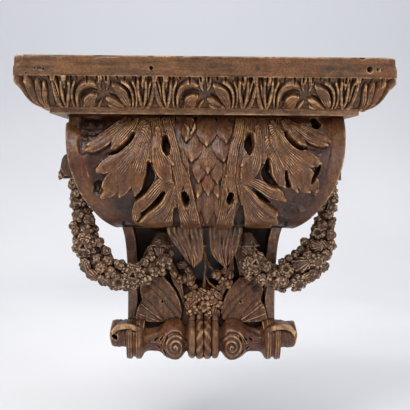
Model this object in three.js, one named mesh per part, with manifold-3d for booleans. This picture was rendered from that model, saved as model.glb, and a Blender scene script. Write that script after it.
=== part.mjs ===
// A carved wooden corbel bracket: a moulded shelf on a scrolled, leaf-carved body, with a flower
// garland hung on each side. Millimetres, +Z up. The origin is on the flat back that goes against
// the wall, on the centre line. The front faces -Y, so a depth of 100 is at y = -100.
import * as THREE from 'three';
import { mergeVertices } from 'three/addons/utils/BufferGeometryUtils.js';
import Module from 'manifold-3d';

const wasm = await Module();
wasm.setup();

// Driving dimensions
const SHELF_TOP = 110;
const SHELF_WIDTH = 480;
const SHELF_DEPTH = 250;
const SHELF_HEIGHT = 71;
const FASCIA_HEIGHT = 25.5;
const FILLET_HEIGHT = 10;
const MOULDING_INSET = 44;
const TOP_EDGE_WEAR = 2.5;
const JOINT_GAP = 0.3;
const BODY_SHIFT = 2.5;

const BODY_TOP = SHELF_TOP - SHELF_HEIGHT - JOINT_GAP;
const BULGE_HEIGHT = 151;
const BULGE_DEPTH = 213;
const BULGE_TOP_DEPTH = 188;
const BULGE_LIP_DEPTH = 154;
const BULGE_SETBACK = 16;
const BELLY_DROP = 74;
const RIM_WIDTH = 14;
const RIM_HEIGHT = 4;

const NECK_WIDTH = 214;
const NECK_DEPTH = 108;
const NECK_STRIP = 14;
const NECK_BOTTOM = -282;

const SCROLL_DEPTH = 110;
const SCROLL_Z = -272;
const SCROLL_RADIUS = 28.5;
const SCROLL_HALF = 107;
const BOSS_RADIUS = 19.5;
const BOSS_REACH = 131;

const EYE_DEPTH = 108;
const EYE_Z = -32;
const EYE_REACH = 181;
const GARLAND_SIDES = 10;
const GARLAND_ROWS = 36;

// Solids from three.js geometry
function solid(geometry) {
  const bare = geometry.clone();
  bare.deleteAttribute('normal');
  bare.deleteAttribute('uv');
  const merged = mergeVertices(bare, 1e-4);
  const vertProperties = new Float32Array(merged.attributes.position.array);
  const corners = merged.index.array;
  const kept = [];
  for (let i = 0; i < corners.length; i += 3) {
    const [a, b, c] = [corners[i], corners[i + 1], corners[i + 2]];
    if (a !== b && b !== c && c !== a) kept.push([a, b, c]);
  }
  const outward = signedVolume(vertProperties, kept) > 0;
  const triVerts = new Uint32Array(kept.flatMap(([a, b, c]) => (outward ? [a, b, c] : [a, c, b])));
  return new wasm.Manifold(new wasm.Mesh({ numProp: 3, vertProperties, triVerts }));
}

function signedVolume(positions, triangles) {
  const corner = (i) => new THREE.Vector3().fromArray(positions, i * 3);
  return triangles.reduce((sum, [a, b, c]) => sum + corner(a).dot(corner(b).cross(corner(c))) / 6, 0);
}

// Moves every vertex of a geometry to the place that a function gives for it.
function warped(geometry, place) {
  const at = geometry.attributes.position;
  const v = new THREE.Vector3();
  for (let i = 0; i < at.count; i += 1) {
    const moved = place(v.fromBufferAttribute(at, i));
    at.setXYZ(i, moved.x, moved.y, moved.z);
  }
  return solid(geometry);
}

function united(pieces) {
  return pieces.reduce((whole, piece) => whole.add(piece));
}

function meshOf(name, manifold, colour, roughness) {
  const { vertProperties, triVerts } = manifold.getMesh();
  const geometry = new THREE.BufferGeometry();
  geometry.setAttribute('position', new THREE.BufferAttribute(new Float32Array(vertProperties), 3));
  geometry.setIndex(new THREE.BufferAttribute(new Uint32Array(triVerts), 1));
  geometry.computeVertexNormals();
  const material = new THREE.MeshStandardMaterial({ color: colour, roughness, metalness: 0 });
  const mesh = new THREE.Mesh(geometry, material);
  mesh.name = name;
  return mesh;
}

// A value read off an evenly smooth line through a few [position, value] pairs.
function profile(pairs) {
  const curve = new THREE.SplineCurve(pairs.map(([at, value]) => new THREE.Vector2(at, value)));
  const samples = curve.getPoints(pairs.length * 8);
  return (at) => {
    const next = samples.findIndex((p) => p.x >= at);
    if (next < 0) return samples[samples.length - 1].y;
    if (next === 0) return samples[0].y;
    const [a, b] = [samples[next - 1], samples[next]];
    return a.y + ((b.y - a.y) * (at - a.x)) / Math.max(b.x - a.x, 1e-6);
  };
}

// A carved leaf blade: pointed at both ends, with a ridge along it, laid on a surface. The surface
// is a function of (across, down, lift). Its peak says where along the blade it is widest, and
// its crest where the ridge is highest.
function blade(surface, from, to, { width, height, bow = 0, peak = 0.5, crest = peak, rings = 4 }) {
  const along = new THREE.Vector2(to[0] - from[0], to[1] - from[1]);
  const aside = new THREE.Vector2(-along.y, along.x).normalize();
  const swell = (t, top) => Math.sin(Math.PI * t ** (Math.log(0.5) / Math.log(top)));
  return warped(new THREE.SphereGeometry(1, 4, rings), (v) => {
    const t = Math.acos(THREE.MathUtils.clamp(v.y, -1, 1)) / Math.PI;
    const reach = Math.hypot(v.x, v.z);
    const side = reach > 1e-3 ? v.x / reach : 0;
    const up = reach > 1e-3 ? v.z / reach : 0;
    const off = bow * Math.sin(Math.PI * t) + side * 0.5 * width * Math.max(swell(t, peak), 0.1);
    const crown = height * Math.max(swell(t, crest), 0.12);
    const lift = up > 0.5 ? crown : up < -0.5 ? -3.5 : 0.3 * crown - 0.8;
    return surface(
      from[0] + along.x * t + aside.x * off,
      from[1] + along.y * t + aside.y * off,
      reach > 1e-3 ? lift : -1,
    );
  });
}

// The shelf
const mouldingTop = SHELF_TOP - FASCIA_HEIGHT;
const filletTop = SHELF_TOP - SHELF_HEIGHT + FILLET_HEIGHT;
const mouldingInset = profile([
  [filletTop, MOULDING_INSET - 3],
  [filletTop + 5, 29],
  [filletTop + 11, 23],
  [filletTop + 18, 18.5],
  [filletTop + 26, 13],
  [mouldingTop - 3, 6],
  [mouldingTop, 0],
]);

function shelfBlock() {
  const moulding = [0, 0.16, 0.42, 0.7, 0.86, 1].map((t) => {
    const z = THREE.MathUtils.lerp(mouldingTop, filletTop, t);
    return [z, mouldingInset(z)];
  });
  const levels = [
    [SHELF_TOP, TOP_EDGE_WEAR],
    [SHELF_TOP - TOP_EDGE_WEAR, 0],
    ...moulding,
    [filletTop - 1, MOULDING_INSET],
    [SHELF_TOP - SHELF_HEIGHT, MOULDING_INSET],
  ];
  const steps = levels.length - 1;
  return warped(new THREE.BoxGeometry(2, 1, 1, 1, steps, 1), (v) => {
    const [z, inset] = levels[Math.round((0.5 - v.y) * steps)];
    const front = v.z < 0;
    return new THREE.Vector3(v.x * (SHELF_WIDTH / 2 - inset), front ? -(SHELF_DEPTH - inset) : 0, z);
  });
}

// The moulding's surface on the front (side 0) or on the left or right end (side -1 or 1). Down is
// measured from the underside of the fascia.
function mouldingSurface(side) {
  return (across, down, lift) => {
    const z = mouldingTop - down;
    const inset = mouldingInset(z);
    const slope = (mouldingInset(z - 1) - mouldingInset(z + 1)) / 2;
    const out = 1 / Math.hypot(1, slope);
    const reach = -inset + lift * out;
    const height = z - lift * slope * out;
    if (side === 0) return new THREE.Vector3(across, -(SHELF_DEPTH + reach), height);
    return new THREE.Vector3(side * (SHELF_WIDTH / 2 + reach), -across, height);
  };
}

const UNIT = 128;
const mouldingHeight = mouldingTop - filletTop;

// Half of one repeat of the leaf moulding: leaves that curl to the unit's middle, and a bud.
function mouldingLeaves(surface, middle, hand) {
  const at = (across, down) => [middle + hand * across, down * mouldingHeight];
  return [
    blade(surface, at(24, 0.97), at(7, 0.6), { width: 14, height: 6, bow: hand * 3, rings: 3 }),
    blade(surface, at(36, 0.98), at(16, 0.16), { width: 14, height: 6, bow: hand * 5, peak: 0.6 }),
    blade(surface, at(49, 0.98), at(45, 0.04), { width: 13, height: 6, peak: 0.65, rings: 3 }),
  ];
}

function dart(surface, across) {
  const shape = { width: 17, height: 6, peak: 0.25, rings: 3 };
  return blade(surface, [across, mouldingHeight], [across, mouldingHeight * 0.2], shape);
}

function shelfCarving() {
  const front = mouldingSurface(0);
  const carved = [-UNIT, 0, UNIT].flatMap((middle) =>
    [-1, 1].flatMap((hand) => mouldingLeaves(front, middle, hand)));
  carved.push(dart(front, -UNIT / 2), dart(front, UNIT / 2));
  for (const side of [-1, 1]) {
    const end = mouldingSurface(side);
    for (const middle of [UNIT * 0.2, UNIT * 1.2]) {
      carved.push(...mouldingLeaves(end, middle, 1));
      if (middle > UNIT) carved.push(...mouldingLeaves(end, middle, -1));
    }
    carved.push(dart(end, UNIT * 0.7));
    carved.push(blade(front, [side * 202, mouldingHeight], [side * 231, 2], { width: 18, height: 8 }));
  }
  return carved;
}

// The bulging upper part of the body. Drop is measured down from its top.
const halfWidthAtDrop = profile([
  [0, 184],
  [25, 184.5],
  [62, 180],
  [97, 167.5],
  [118, 154.5],
  [135, 141],
  [145, 129],
  [BULGE_HEIGHT, 119],
]);

function bulgeFront(drop) {
  if (drop < BELLY_DROP) {
    const up = (BELLY_DROP - drop) / BELLY_DROP;
    return BULGE_DEPTH - (BULGE_DEPTH - BULGE_TOP_DEPTH) * up ** 2;
  }
  const down = Math.min((drop - BELLY_DROP) / (BULGE_HEIGHT - BELLY_DROP), 1);
  return BULGE_LIP_DEPTH + (BULGE_DEPTH - BULGE_LIP_DEPTH) * Math.sqrt(1 - down ** 2);
}

// The body is full depth to the wall at the top, coved below that, and rolled under at the front.
function bulgeRear(drop) {
  const coveTop = 66;
  const rollTop = 100;
  const rollDepth = 112;
  if (drop < coveTop) return 0;
  if (drop < rollTop) return rollDepth * ((drop - coveTop) / (rollTop - coveTop)) ** 2;
  const down = Math.min((drop - rollTop) / (BULGE_HEIGHT - rollTop), 1);
  return BULGE_LIP_DEPTH - 12 - (BULGE_LIP_DEPTH - 12 - rollDepth) * Math.sqrt(1 - down ** 2);
}

function bulgeDepth(x, drop) {
  const share = THREE.MathUtils.clamp(x / halfWidthAtDrop(drop), -1, 1);
  return bulgeFront(drop) - BULGE_SETBACK * share ** 2;
}

function bulgeSurface(x, drop, lift) {
  const held = Math.min(drop, BULGE_HEIGHT - 1.5);
  const across = (bulgeDepth(x + 1, held) - bulgeDepth(x - 1, held)) / 2;
  const down = bulgeDepth(x, held - 1) - bulgeDepth(x, held + 1);
  const normal = new THREE.Vector3(-across, -1, -down / 2).normalize();
  return new THREE.Vector3(x, -bulgeDepth(x, held), BODY_TOP - drop).addScaledVector(normal, lift);
}

function bulgeBlock() {
  const drops = [0, 30, 66, 76, 88, 100, 118, 133, 143, BULGE_HEIGHT];
  const shares = [-1, -0.5, 0, 0.5, 1];
  const columns = shares.length + 1;
  const rows = drops.length - 1;
  return warped(new THREE.BoxGeometry(1, 1, 1, columns, rows, 1), (v) => {
    const drop = drops[Math.round((0.5 - v.y) * rows)];
    const column = Math.round((v.x + 0.5) * columns);
    const half = halfWidthAtDrop(drop);
    const onRim = column === 0 || column === columns;
    const inner = half - RIM_WIDTH;
    const x = onRim ? Math.sign(column - 1) * half : inner * shares[column - 1];
    const depth = v.z < 0 ? bulgeDepth(x, drop) - (onRim ? 2 : 0) : bulgeRear(drop);
    return new THREE.Vector3(x, -depth, BODY_TOP - drop);
  });
}

// The plain border that follows each side of the bulge.
function rim(side) {
  const stations = 9;
  return warped(new THREE.BoxGeometry(1, stations, 1, 1, stations, 1), (v) => {
    const drop = THREE.MathUtils.lerp(4, BULGE_HEIGHT - 2, 0.5 - v.y / stations);
    const x = side * (halfWidthAtDrop(drop) + (v.x > 0 ? 0.6 : -RIM_WIDTH));
    return bulgeSurface(x, drop, v.z > 0 ? RIM_HEIGHT : -8);
  });
}

// The big acanthus leaf on each half of the bulge, as [from across, from drop, to across, to drop,
// width, height, bow] for each lobe.
const LEAF_LOBES = [
  [97, 3, 156, 48, 27, 10, -5],
  [84, 16, 141, 73, 20, 11, -7],
  [77, 24, 135, 102, 27, 13, -8],
  [70, 30, 104, 105, 30, 12, -6],
  [60, 28, 43, 72, 18, 9, 3],
  [56, 66, 96, 114, 20, 12, -7],
  [51, 84, 89, 134, 18, 12, -7],
  [46, 92, 62, 150, 34, 13, -4],
];
const STEM = [44, 1, 43, 116, 10, 7, 4];
const CENTRE_LEAF = [30, 90, 27, 150, 24, 10, 1];

function bulgeLeaves(side) {
  return [...LEAF_LOBES, STEM, CENTRE_LEAF].map(([x0, d0, x1, d1, width, height, bow]) =>
    blade(bulgeSurface, [side * x0, d0], [side * x1, d1], {
      width,
      height,
      bow: side * bow,
      peak: 0.6,
    }));
}

// The tapering band of overlapping scales down the middle, as [across, drop of tip, width, length].
function scales() {
  const rows = [
    [0, 42, 30, 40],
    [20, 24, 22, 28],
    [20, 64, 25, 40],
    [0, 78, 27, 38],
    [14, 92, 20, 34],
    [0, 106, 20, 32],
    [0, 136, 20, 34],
    [8, 149, 14, 34],
  ];
  return rows.flatMap(([across, tip, width, length]) => {
    const sides = across === 0 ? [1] : [-1, 1];
    return sides.map((side) =>
      blade(bulgeSurface, [side * across, Math.max(tip - length, 1)], [side * across, tip], {
        width,
        height: 8,
        peak: 0.55,
        crest: 0.7,
        rings: 3,
      }));
  });
}

// The side volute's eye, a flat-ended boss that carries the garland.
function sideVolute(side) {
  const radius = 20;
  const length = 40;
  return warped(new THREE.CylinderGeometry(radius - 3, radius, length, 10), (v) =>
    new THREE.Vector3(side * (EYE_REACH - length / 2 + v.y), -EYE_DEPTH + v.x, EYE_Z + v.z));
}

// The neck, with a plain strip up each edge and a panel sunk between them.
const neckFront = profile([
  [NECK_BOTTOM, NECK_DEPTH],
  [-250, NECK_DEPTH - 3],
  [-205, NECK_DEPTH - 6],
  [-150, NECK_DEPTH],
  [-104, NECK_DEPTH + 20],
]);
const neckHalf = profile([
  [NECK_BOTTOM, NECK_WIDTH / 2 - 3],
  [-200, NECK_WIDTH / 2 - 3],
  [-135, NECK_WIDTH / 2],
  [-104, NECK_WIDTH / 2 + 7],
]);

function neckBlock() {
  const levels = [-20, -104, -122, -150, -180, -205, -230, -262, NECK_BOTTOM];
  const rows = levels.length - 1;
  const columns = 5;
  const sunk = 9;
  return warped(new THREE.BoxGeometry(1, 1, 1, columns, rows, 1), (v) => {
    const z = levels[Math.round((0.5 - v.y) * rows)];
    const half = neckHalf(z);
    const column = Math.round((v.x + 0.5) * columns);
    const fromEdge = [0, NECK_STRIP, NECK_STRIP + 2][Math.min(column, columns - column)];
    const x = column < columns / 2 ? fromEdge - half : half - fromEdge;
    const inPanel = column === 2 || column === 3;
    const front = neckFront(z) - (inPanel ? sunk : 0);
    return new THREE.Vector3(x, v.z < 0 ? -front : 0, z);
  });
}

function neckSurface(x, z, lift) {
  return new THREE.Vector3(x, -(neckFront(z) - 6 + lift), z);
}

// Broad leaves that fan up and out from the foot of the neck.
function neckLeaves(side) {
  const lobes = [
    [34, -246, 91, -220, 26, 11, 4],
    [30, -246, 80, -186, 28, 15, 5],
    [27, -242, 48, -160, 26, 13, 3],
  ];
  return lobes.map(([x0, z0, x1, z1, width, height, bow]) =>
    blade(neckSurface, [side * x0, z0], [side * x1, z1], {
      width,
      height,
      bow: side * bow,
      peak: 0.6,
    }));
}

// Two drooping leaf tips under the middle of the bulge.
function hangingLeaf(side) {
  const depth = 146;
  const surface = (x, z, lift) => new THREE.Vector3(x, -(depth + (z + 140) * 0.12 + lift), z);
  const shape = { width: 36, height: 13, peak: 0.58, rings: 4 };
  return blade(surface, [side * 22, -96], [side * 23, -168], shape);
}

// The roll at the foot: a waisted bulb on each side of a strap, and a collar at each end.
function footRoll() {
  const strapEdge = 21;
  const halfProfile = [
    [strapEdge, 24],
    [24, 17],
    [32, 26.5],
    [42, SCROLL_RADIUS],
    [52, 25.5],
    [61, 18],
    [68, 16],
    [80, 17],
    [87, 27],
    [93, 27.5],
    [97, 24.5],
    [101, SCROLL_RADIUS - 0.5],
    [SCROLL_HALF, 27],
  ];
  const right = [...halfProfile, [SCROLL_HALF, 0]];
  const left = right.map(([x, radius]) => [-x, radius]).reverse();
  const points = [...left, ...right].map(([x, radius]) => new THREE.Vector2(radius, x));
  return warped(new THREE.LatheGeometry(points, 12), (v) =>
    new THREE.Vector3(v.y, -SCROLL_DEPTH + v.x, SCROLL_Z + v.z));
}

// The inner coil of the foot volute stands out sideways, level with the collar's top.
function footBoss(side) {
  const length = 46;
  const rise = SCROLL_RADIUS - BOSS_RADIUS - 1;
  return warped(new THREE.CylinderGeometry(BOSS_RADIUS - 1, BOSS_RADIUS, length, 10), (v) => {
    const outward = THREE.MathUtils.clamp(v.z / BOSS_RADIUS, -1, 1);
    const x = BOSS_REACH - length / 2 + v.y - 3 * Math.abs(outward);
    return new THREE.Vector3(side * x, -SCROLL_DEPTH + v.x, SCROLL_Z + rise + v.z);
  });
}

// The worn hole in the left boss and the chip out of the top of the right one.
function footDamage() {
  const hole = warped(new THREE.CylinderGeometry(4.5, 5.5, 30, 8), (v) =>
    new THREE.Vector3(-BOSS_REACH + 6 + v.x, -SCROLL_DEPTH - 16 + v.y, SCROLL_Z + 6 + v.z));
  const chip = warped(new THREE.BoxGeometry(14, 30, 11), (v) =>
    new THREE.Vector3(BOSS_REACH - 14 + v.x, -SCROLL_DEPTH - 4 + v.y, SCROLL_Z + 27 + v.z));
  return [hole, chip];
}

// A rib that runs down the neck and round the front of the strap.
function strapRib(x, width, height) {
  const steps = 6;
  const start = 100;
  const turn = 165;
  const buried = 14;
  const strapRadius = 24;
  return warped(new THREE.BoxGeometry(1, steps, 1, 1, steps, 1), (v) => {
    const angle = THREE.MathUtils.degToRad(start - (0.5 - v.y / steps) * turn);
    const top = v.z > 0;
    const radius = top ? strapRadius + height : buried;
    return new THREE.Vector3(
      x + v.x * width * (top ? 0.6 : 1),
      -SCROLL_DEPTH - Math.cos(angle) * radius,
      SCROLL_Z + Math.sin(angle) * radius,
    );
  });
}

// A knot of small flowers on the neck above the strap.
function flowerKnot() {
  const centre = new THREE.Vector3(0, -(NECK_DEPTH - 3), -221);
  const blooms = [[0, 1, 15]];
  for (let i = 0; i < 6; i += 1) {
    const angle = (i / 6) * Math.PI * 2;
    blooms.push([Math.cos(angle) * 19, Math.sin(angle) * 15, 13]);
  }
  return blooms.map(([x, z, radius]) =>
    warped(new THREE.OctahedronGeometry(radius, 0), (v) =>
      new THREE.Vector3(centre.x + x + v.x, centre.y + v.y, centre.z + z + v.z)));
}

function bodySolid() {
  const pieces = [bulgeBlock(), neckBlock(), footRoll(), ...scales(), ...flowerKnot()];
  for (const side of [-1, 1]) {
    pieces.push(rim(side), footBoss(side), hangingLeaf(side), sideVolute(side));
    pieces.push(...bulgeLeaves(side), ...neckLeaves(side));
    pieces.push(strapRib(side * 16, 10, 3), strapRib(side * 5.2, 9, 4.5));
  }
  const above = new THREE.BoxGeometry(600, 600, 60).translate(0, 0, BODY_TOP + 30);
  const behind = new THREE.BoxGeometry(600, 60, 800).translate(0, 30, 0);
  const cutters = [solid(above), solid(behind), ...footDamage()];
  return cutters.reduce((whole, cutter) => whole.subtract(cutter), united(pieces));
}

// A garland hangs from a calyx on the side volute's eye, down and forward under the bulge, and up
// to a smaller calyx beside the drooping leaf tips. Each station is across, depth, height, radius.
const GARLAND_ROUTE = [
  [187, 108, -36, 7],
  [182, 108, -50, 7.5],
  [177, 110, -68, 12.5],
  [170, 114, -95, 16.5],
  [166, 117, -118, 18.5],
  [160, 120, -141, 21.5],
  [148, 122, -160, 24],
  [134, 125, -173, 23],
  [118, 128, -182, 23],
  [98, 130, -182, 19],
  [80, 131, -173, 17],
  [67, 130, -161, 15.5],
  [60, 128, -146, 13],
  [57, 126, -130, 8],
];

// The flowers and berries stand out in turn with the gaps between them, round and along the garland.
function garlandSolid(side) {
  const path = new THREE.CatmullRomCurve3(
    GARLAND_ROUTE.map(([x, depth, z]) => new THREE.Vector3(side * x, -depth, z)),
  );
  const radii = GARLAND_ROUTE.map(([, , , radius]) => radius);
  const gap = 0.76;
  const rope = new THREE.CylinderGeometry(1, 1, 1, GARLAND_SIDES, GARLAND_ROWS);
  return warped(rope, (v) => {
    const t = 0.5 - v.y;
    const station = Math.min(Math.floor(t * (radii.length - 1)), radii.length - 2);
    const share = t * (radii.length - 1) - station;
    const radius = THREE.MathUtils.lerp(radii[station], radii[station + 1], share);
    const middle = path.getPoint(t);
    const tangent = path.getTangent(t);
    const across = new THREE.Vector3(0, -1, 0).cross(tangent).normalize();
    const over = tangent.clone().cross(across);
    const angle = Math.atan2(v.z, v.x);
    const spot = Math.round(t * GARLAND_ROWS) + Math.round((angle / Math.PI / 2) * GARLAND_SIDES);
    const reach = Math.hypot(v.x, v.z) * radius * (spot % 2 === 0 ? 1 : gap);
    return middle
      .addScaledVector(across, Math.cos(angle) * reach)
      .addScaledVector(over, Math.sin(angle) * reach);
  });
}

// A bell-shaped calyx, as [radius, height] down its side.
function calyx(bell, x, depth, z) {
  const points = bell.map(([radius, height]) => new THREE.Vector2(radius, height)).reverse();
  return warped(new THREE.LatheGeometry(points, 8), (v) =>
    new THREE.Vector3(x + v.x, -depth + v.z, z + v.y));
}

const OUTER_CALYX = [
  [0, 20],
  [8, 17],
  [13, 8],
  [13.5, -5],
  [16, -17],
  [8, -12],
  [0, -12],
];
const INNER_CALYX = [
  [0, 8],
  [9, 6],
  [14, -2],
  [17, -12],
  [8, -9],
  [0, -9],
];

// The garland is cut back where it rests on the body, which leaves a hair's breadth all round.
function fittedGarland(side, body) {
  const whole = united([
    garlandSolid(side),
    calyx(OUTER_CALYX, side * 187, 107, -30),
    calyx(INNER_CALYX, side * 57, 126, -126),
  ]);
  const shifts = [
    [side * JOINT_GAP, 0, 0],
    [0, -JOINT_GAP, 0],
    [0, JOINT_GAP, 0],
    [0, 0, -JOINT_GAP],
    [0, 0, JOINT_GAP],
  ];
  const cut = shifts.reduce((garland, shift) => garland.subtract(body.translate(shift)), whole);
  return cut.decompose().sort((a, b) => b.volume() - a.volume())[0];
}

const body = bodySolid();

// The carved body and its garlands sit a little to the right of the shelf's middle, as the maker
// left them.
const carving = new THREE.Group();
carving.position.x = BODY_SHIFT;
carving.add(
  meshOf('corbel_body', body, 0x6a4328, 0.5),
  meshOf('garland_left', fittedGarland(-1, body), 0x66523d, 0.7),
  meshOf('garland_right', fittedGarland(1, body), 0x66523d, 0.7),
);

const corbel = new THREE.Group();
corbel.add(meshOf('moulded_shelf', united([shelfBlock(), ...shelfCarving()]), 0x6d4f34, 0.6), carving);

export default corbel;
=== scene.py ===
"""A carved wooden corbel bracket: a moulded shelf on a leaf-carved body, with a flower garland on
each side. Lengths inside the carving functions are millimetres, and each mesh is scaled to metres
as it is made. The body and garlands are drawn round their own middle, which is BODY_SHIFT to the
right of the shelf's."""

import math

import bmesh
import bpy
import numpy as np
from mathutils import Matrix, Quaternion, Vector
from mathutils.bvhtree import BVHTree


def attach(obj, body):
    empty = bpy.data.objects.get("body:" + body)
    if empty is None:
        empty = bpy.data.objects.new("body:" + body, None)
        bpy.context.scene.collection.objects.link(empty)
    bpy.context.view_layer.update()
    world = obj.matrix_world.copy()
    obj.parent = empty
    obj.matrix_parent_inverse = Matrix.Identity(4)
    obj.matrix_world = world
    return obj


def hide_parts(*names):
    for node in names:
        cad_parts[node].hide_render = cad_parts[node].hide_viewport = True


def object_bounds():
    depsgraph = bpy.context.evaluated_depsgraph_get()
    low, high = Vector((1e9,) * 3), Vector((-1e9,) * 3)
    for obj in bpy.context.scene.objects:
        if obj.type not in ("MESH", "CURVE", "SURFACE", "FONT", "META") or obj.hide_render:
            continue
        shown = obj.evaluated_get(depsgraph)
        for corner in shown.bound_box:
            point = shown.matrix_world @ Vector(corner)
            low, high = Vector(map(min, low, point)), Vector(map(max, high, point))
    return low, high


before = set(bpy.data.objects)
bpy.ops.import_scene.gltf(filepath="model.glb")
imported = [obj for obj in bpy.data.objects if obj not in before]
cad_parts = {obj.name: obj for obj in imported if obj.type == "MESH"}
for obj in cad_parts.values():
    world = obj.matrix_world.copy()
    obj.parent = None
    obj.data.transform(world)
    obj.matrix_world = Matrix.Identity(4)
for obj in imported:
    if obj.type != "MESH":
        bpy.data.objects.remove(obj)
CAD_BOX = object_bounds()

bl_info = {
    "name": "Carved corbel bracket",
    "version": (1, 0, 0),
    "blender": (4, 5, 0),
    "location": "3D View > Sidebar > Corbel",
    "description": "Builds a carved wooden corbel bracket with two flower garlands",
    "category": "Object",
}

# Sizes and places in millimetres, in the shared frame
MM = 0.001
BODY_SHIFT = 2.5
SHELF_TOP = 110.0
SHELF_HALF = 240.0
SHELF_DEPTH = 250.0
SHELF_FOOT = 39.0
FASCIA_FOOT = 84.5
FILLET_TOP = 49.0
MOULDING_INSET = 40.0
BODY_TOP = 38.7
BULGE_HEIGHT = 151.0
BULGE_HALF = 184
BELLY_DROP = 74.0
NECK_FOOT = -282.0
NECK_SHIFT = 3.0
ROLL_DEPTH = 110.0
ROLL_Z = -272.0
ROLL_HALF = 107.0
EYE_DEPTH = 108.0
EYE_Z = -32.0
EYE_REACH = 181.0
BOSS_RISE = 8.0
BOSS_RADIUS = 19.5
# Most triangles in a piece, and in a quick draft of it
SHELF_TRIANGLES = 190000, 40000
GARLAND_TRIANGLES = 150000, 30000
BODY_DRAFT_TRIANGLES = 50000
# The photograph's sides and focal length in its own pixels, and the film that stands for it
PHOTO_SIDE_PX = 410.0
PHOTO_FOCUS_PX = 956.0
FILM_WIDTH = 36.0


# Numbers and curves


def smooth01(v):
    """A soft step from 0 to 1."""
    v = np.clip(v, 0.0, 1.0)
    return v * v * (3.0 - 2.0 * v)


def bump(v, middle, half):
    """A soft hump of height 1 round a value."""
    return smooth01(1.0 - np.abs(v - middle) / half)


def spline(points, per_span=8):
    """An evenly smooth line through the points, whose first two or three numbers are places and
    whose other numbers are carried along."""
    p = np.array(points, float)
    p = np.vstack([p[:1], p, p[-1:]])
    t = np.linspace(0, 1, per_span, endpoint=False)[:, None]
    spans = []
    for a, b, c, d in zip(p[:-3], p[1:-2], p[2:-1], p[3:]):
        spans.append(
            0.5
            * (
                2 * b
                + (c - a) * t
                + (2 * a - 5 * b + 4 * c - d) * t**2
                + (3 * b - a - 3 * c + d) * t**3
            )
        )
    return np.vstack(spans + [p[-1:]])


def profile(pairs):
    """A function that reads a smooth line of (place, value) pairs at any place."""
    line = spline(pairs)
    return lambda at: np.interp(at, line[:, 0], line[:, 1])


def run_of(lengths):
    """How far along a line each of its points lies, from the lengths between them."""
    return np.concatenate([[0], np.cumsum(lengths)])


def unit_rows(vectors):
    return vectors / np.linalg.norm(vectors, axis=-1, keepdims=True)


def mottle(u, v, cell, seed):
    """Soft random relief from -1 to 1, even in both directions, with the given cell size."""
    size = 64
    grid = np.random.default_rng(seed).uniform(-1, 1, (size, size))
    a, b = np.asarray(u) / cell, np.asarray(v) / cell
    i, j = np.floor(a).astype(int), np.floor(b).astype(int)
    s, t = smooth01(a - i), smooth01(b - j)

    def at(m, n):
        return grid[(i + m) % size, (j + n) % size]

    low = at(0, 0) * (1 - s) + at(1, 0) * s
    high = at(0, 1) * (1 - s) + at(1, 1) * s
    return low * (1 - t) + high * t


def mottles(u, v, cell, seed):
    """Mottled relief of three layers, each finer and lower than the one before."""
    total = 0.0
    for k in range(3):
        total = total + mottle(u, v, cell / 2**k, seed + k) / 2**k
    return total / 1.6


def inside_of(outline, across, down):
    """How far inside a closed outline each point lies, below zero outside it."""
    best = np.full(across.shape, 1e9)
    within = np.zeros(across.shape, bool)
    for (ax, ay), (bx, by) in zip(outline, outline[1:] + outline[:1]):
        dx, dy = bx - ax, by - ay
        t = np.clip(((across - ax) * dx + (down - ay) * dy) / (dx * dx + dy * dy), 0, 1)
        best = np.minimum(best, np.hypot(across - ax - t * dx, down - ay - t * dy))
        if ay != by:
            within ^= ((ay > down) != (by > down)) & (across < dx * (down - ay) / dy + ax)
    return np.where(within, best, -best)


# Meshes


def cell_size(fine):
    """The spacing of a mesh's points."""
    return fine * 1.0


def steps(length, fine):
    return max(int(math.ceil(length / cell_size(fine))), 2)


def mesh_object(name, points, faces, leaf):
    """An object from points in millimetres and a list of quad and triangle arrays, facing out.
    Leaf is the mark that the finish reads at each point: below 0 is darker, as painted shade in gaps,
    hollows and under overhangs and as stains, 0 is ground, 1 is leaf, and 2 and 3 are paler tones."""
    points = np.asarray(points, float)
    volume = 0.0
    for f in faces:
        for k in range(1, f.shape[1] - 1):
            a, b, c = points[f[:, 0]], points[f[:, k]], points[f[:, k + 1]]
            volume += np.einsum("ij,ij->i", a, np.cross(b, c)).sum()
    if volume < 0:
        faces = [f[:, ::-1] for f in faces]
    counts = np.concatenate([np.full(len(f), f.shape[1]) for f in faces])
    corners = np.concatenate([f.ravel() for f in faces])
    mesh = bpy.data.meshes.new(name)
    mesh.vertices.add(len(points))
    mesh.vertices.foreach_set("co", (points * MM).astype(np.float32).ravel())
    mesh.loops.add(len(corners))
    mesh.loops.foreach_set("vertex_index", corners.astype(np.int32))
    mesh.polygons.add(len(counts))
    starts = np.concatenate([[0], np.cumsum(counts)[:-1]])
    mesh.polygons.foreach_set("loop_start", starts.astype(np.int32))
    mesh.update(calc_edges=True)
    held = mesh.attributes.new("leaf", "FLOAT", "POINT")
    held.data.foreach_set("value", np.asarray(leaf, np.float32).ravel())
    obj = bpy.data.objects.new(name, mesh)
    bpy.context.scene.collection.objects.link(obj)
    return obj


def grid_cells(rows, columns, wrap=False):
    """The quads between rows of points, which close round on themselves where wrap is set."""
    index = np.arange(rows * columns).reshape(rows, columns)
    if wrap:
        index = np.hstack([index, index[:, :1]])
    a, b, c, d = index[:-1, :-1], index[1:, :-1], index[1:, 1:], index[:-1, 1:]
    return np.stack([a, b, c, d], -1).reshape(-1, 4)


def slab(name, front, back, leaf=0.0):
    """A closed piece between two sheets of points with the same rows and columns."""
    rows, columns = front.shape[:2]
    count = rows * columns
    cells = grid_cells(rows, columns)
    index = np.arange(count).reshape(rows, columns)
    ring = np.concatenate([index[:-1, 0], index[-1, :-1], index[:0:-1, -1], index[0, :0:-1]])
    after = np.roll(ring, -1)
    walls = np.stack([after, ring, ring + count, after + count], -1)
    points = np.concatenate([front.reshape(-1, 3), back.reshape(-1, 3)])
    marks = np.tile(np.broadcast_to(leaf, (rows, columns)).ravel(), 2)
    return mesh_object(name, points, [cells, cells[:, ::-1] + count, walls], marks)


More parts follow.
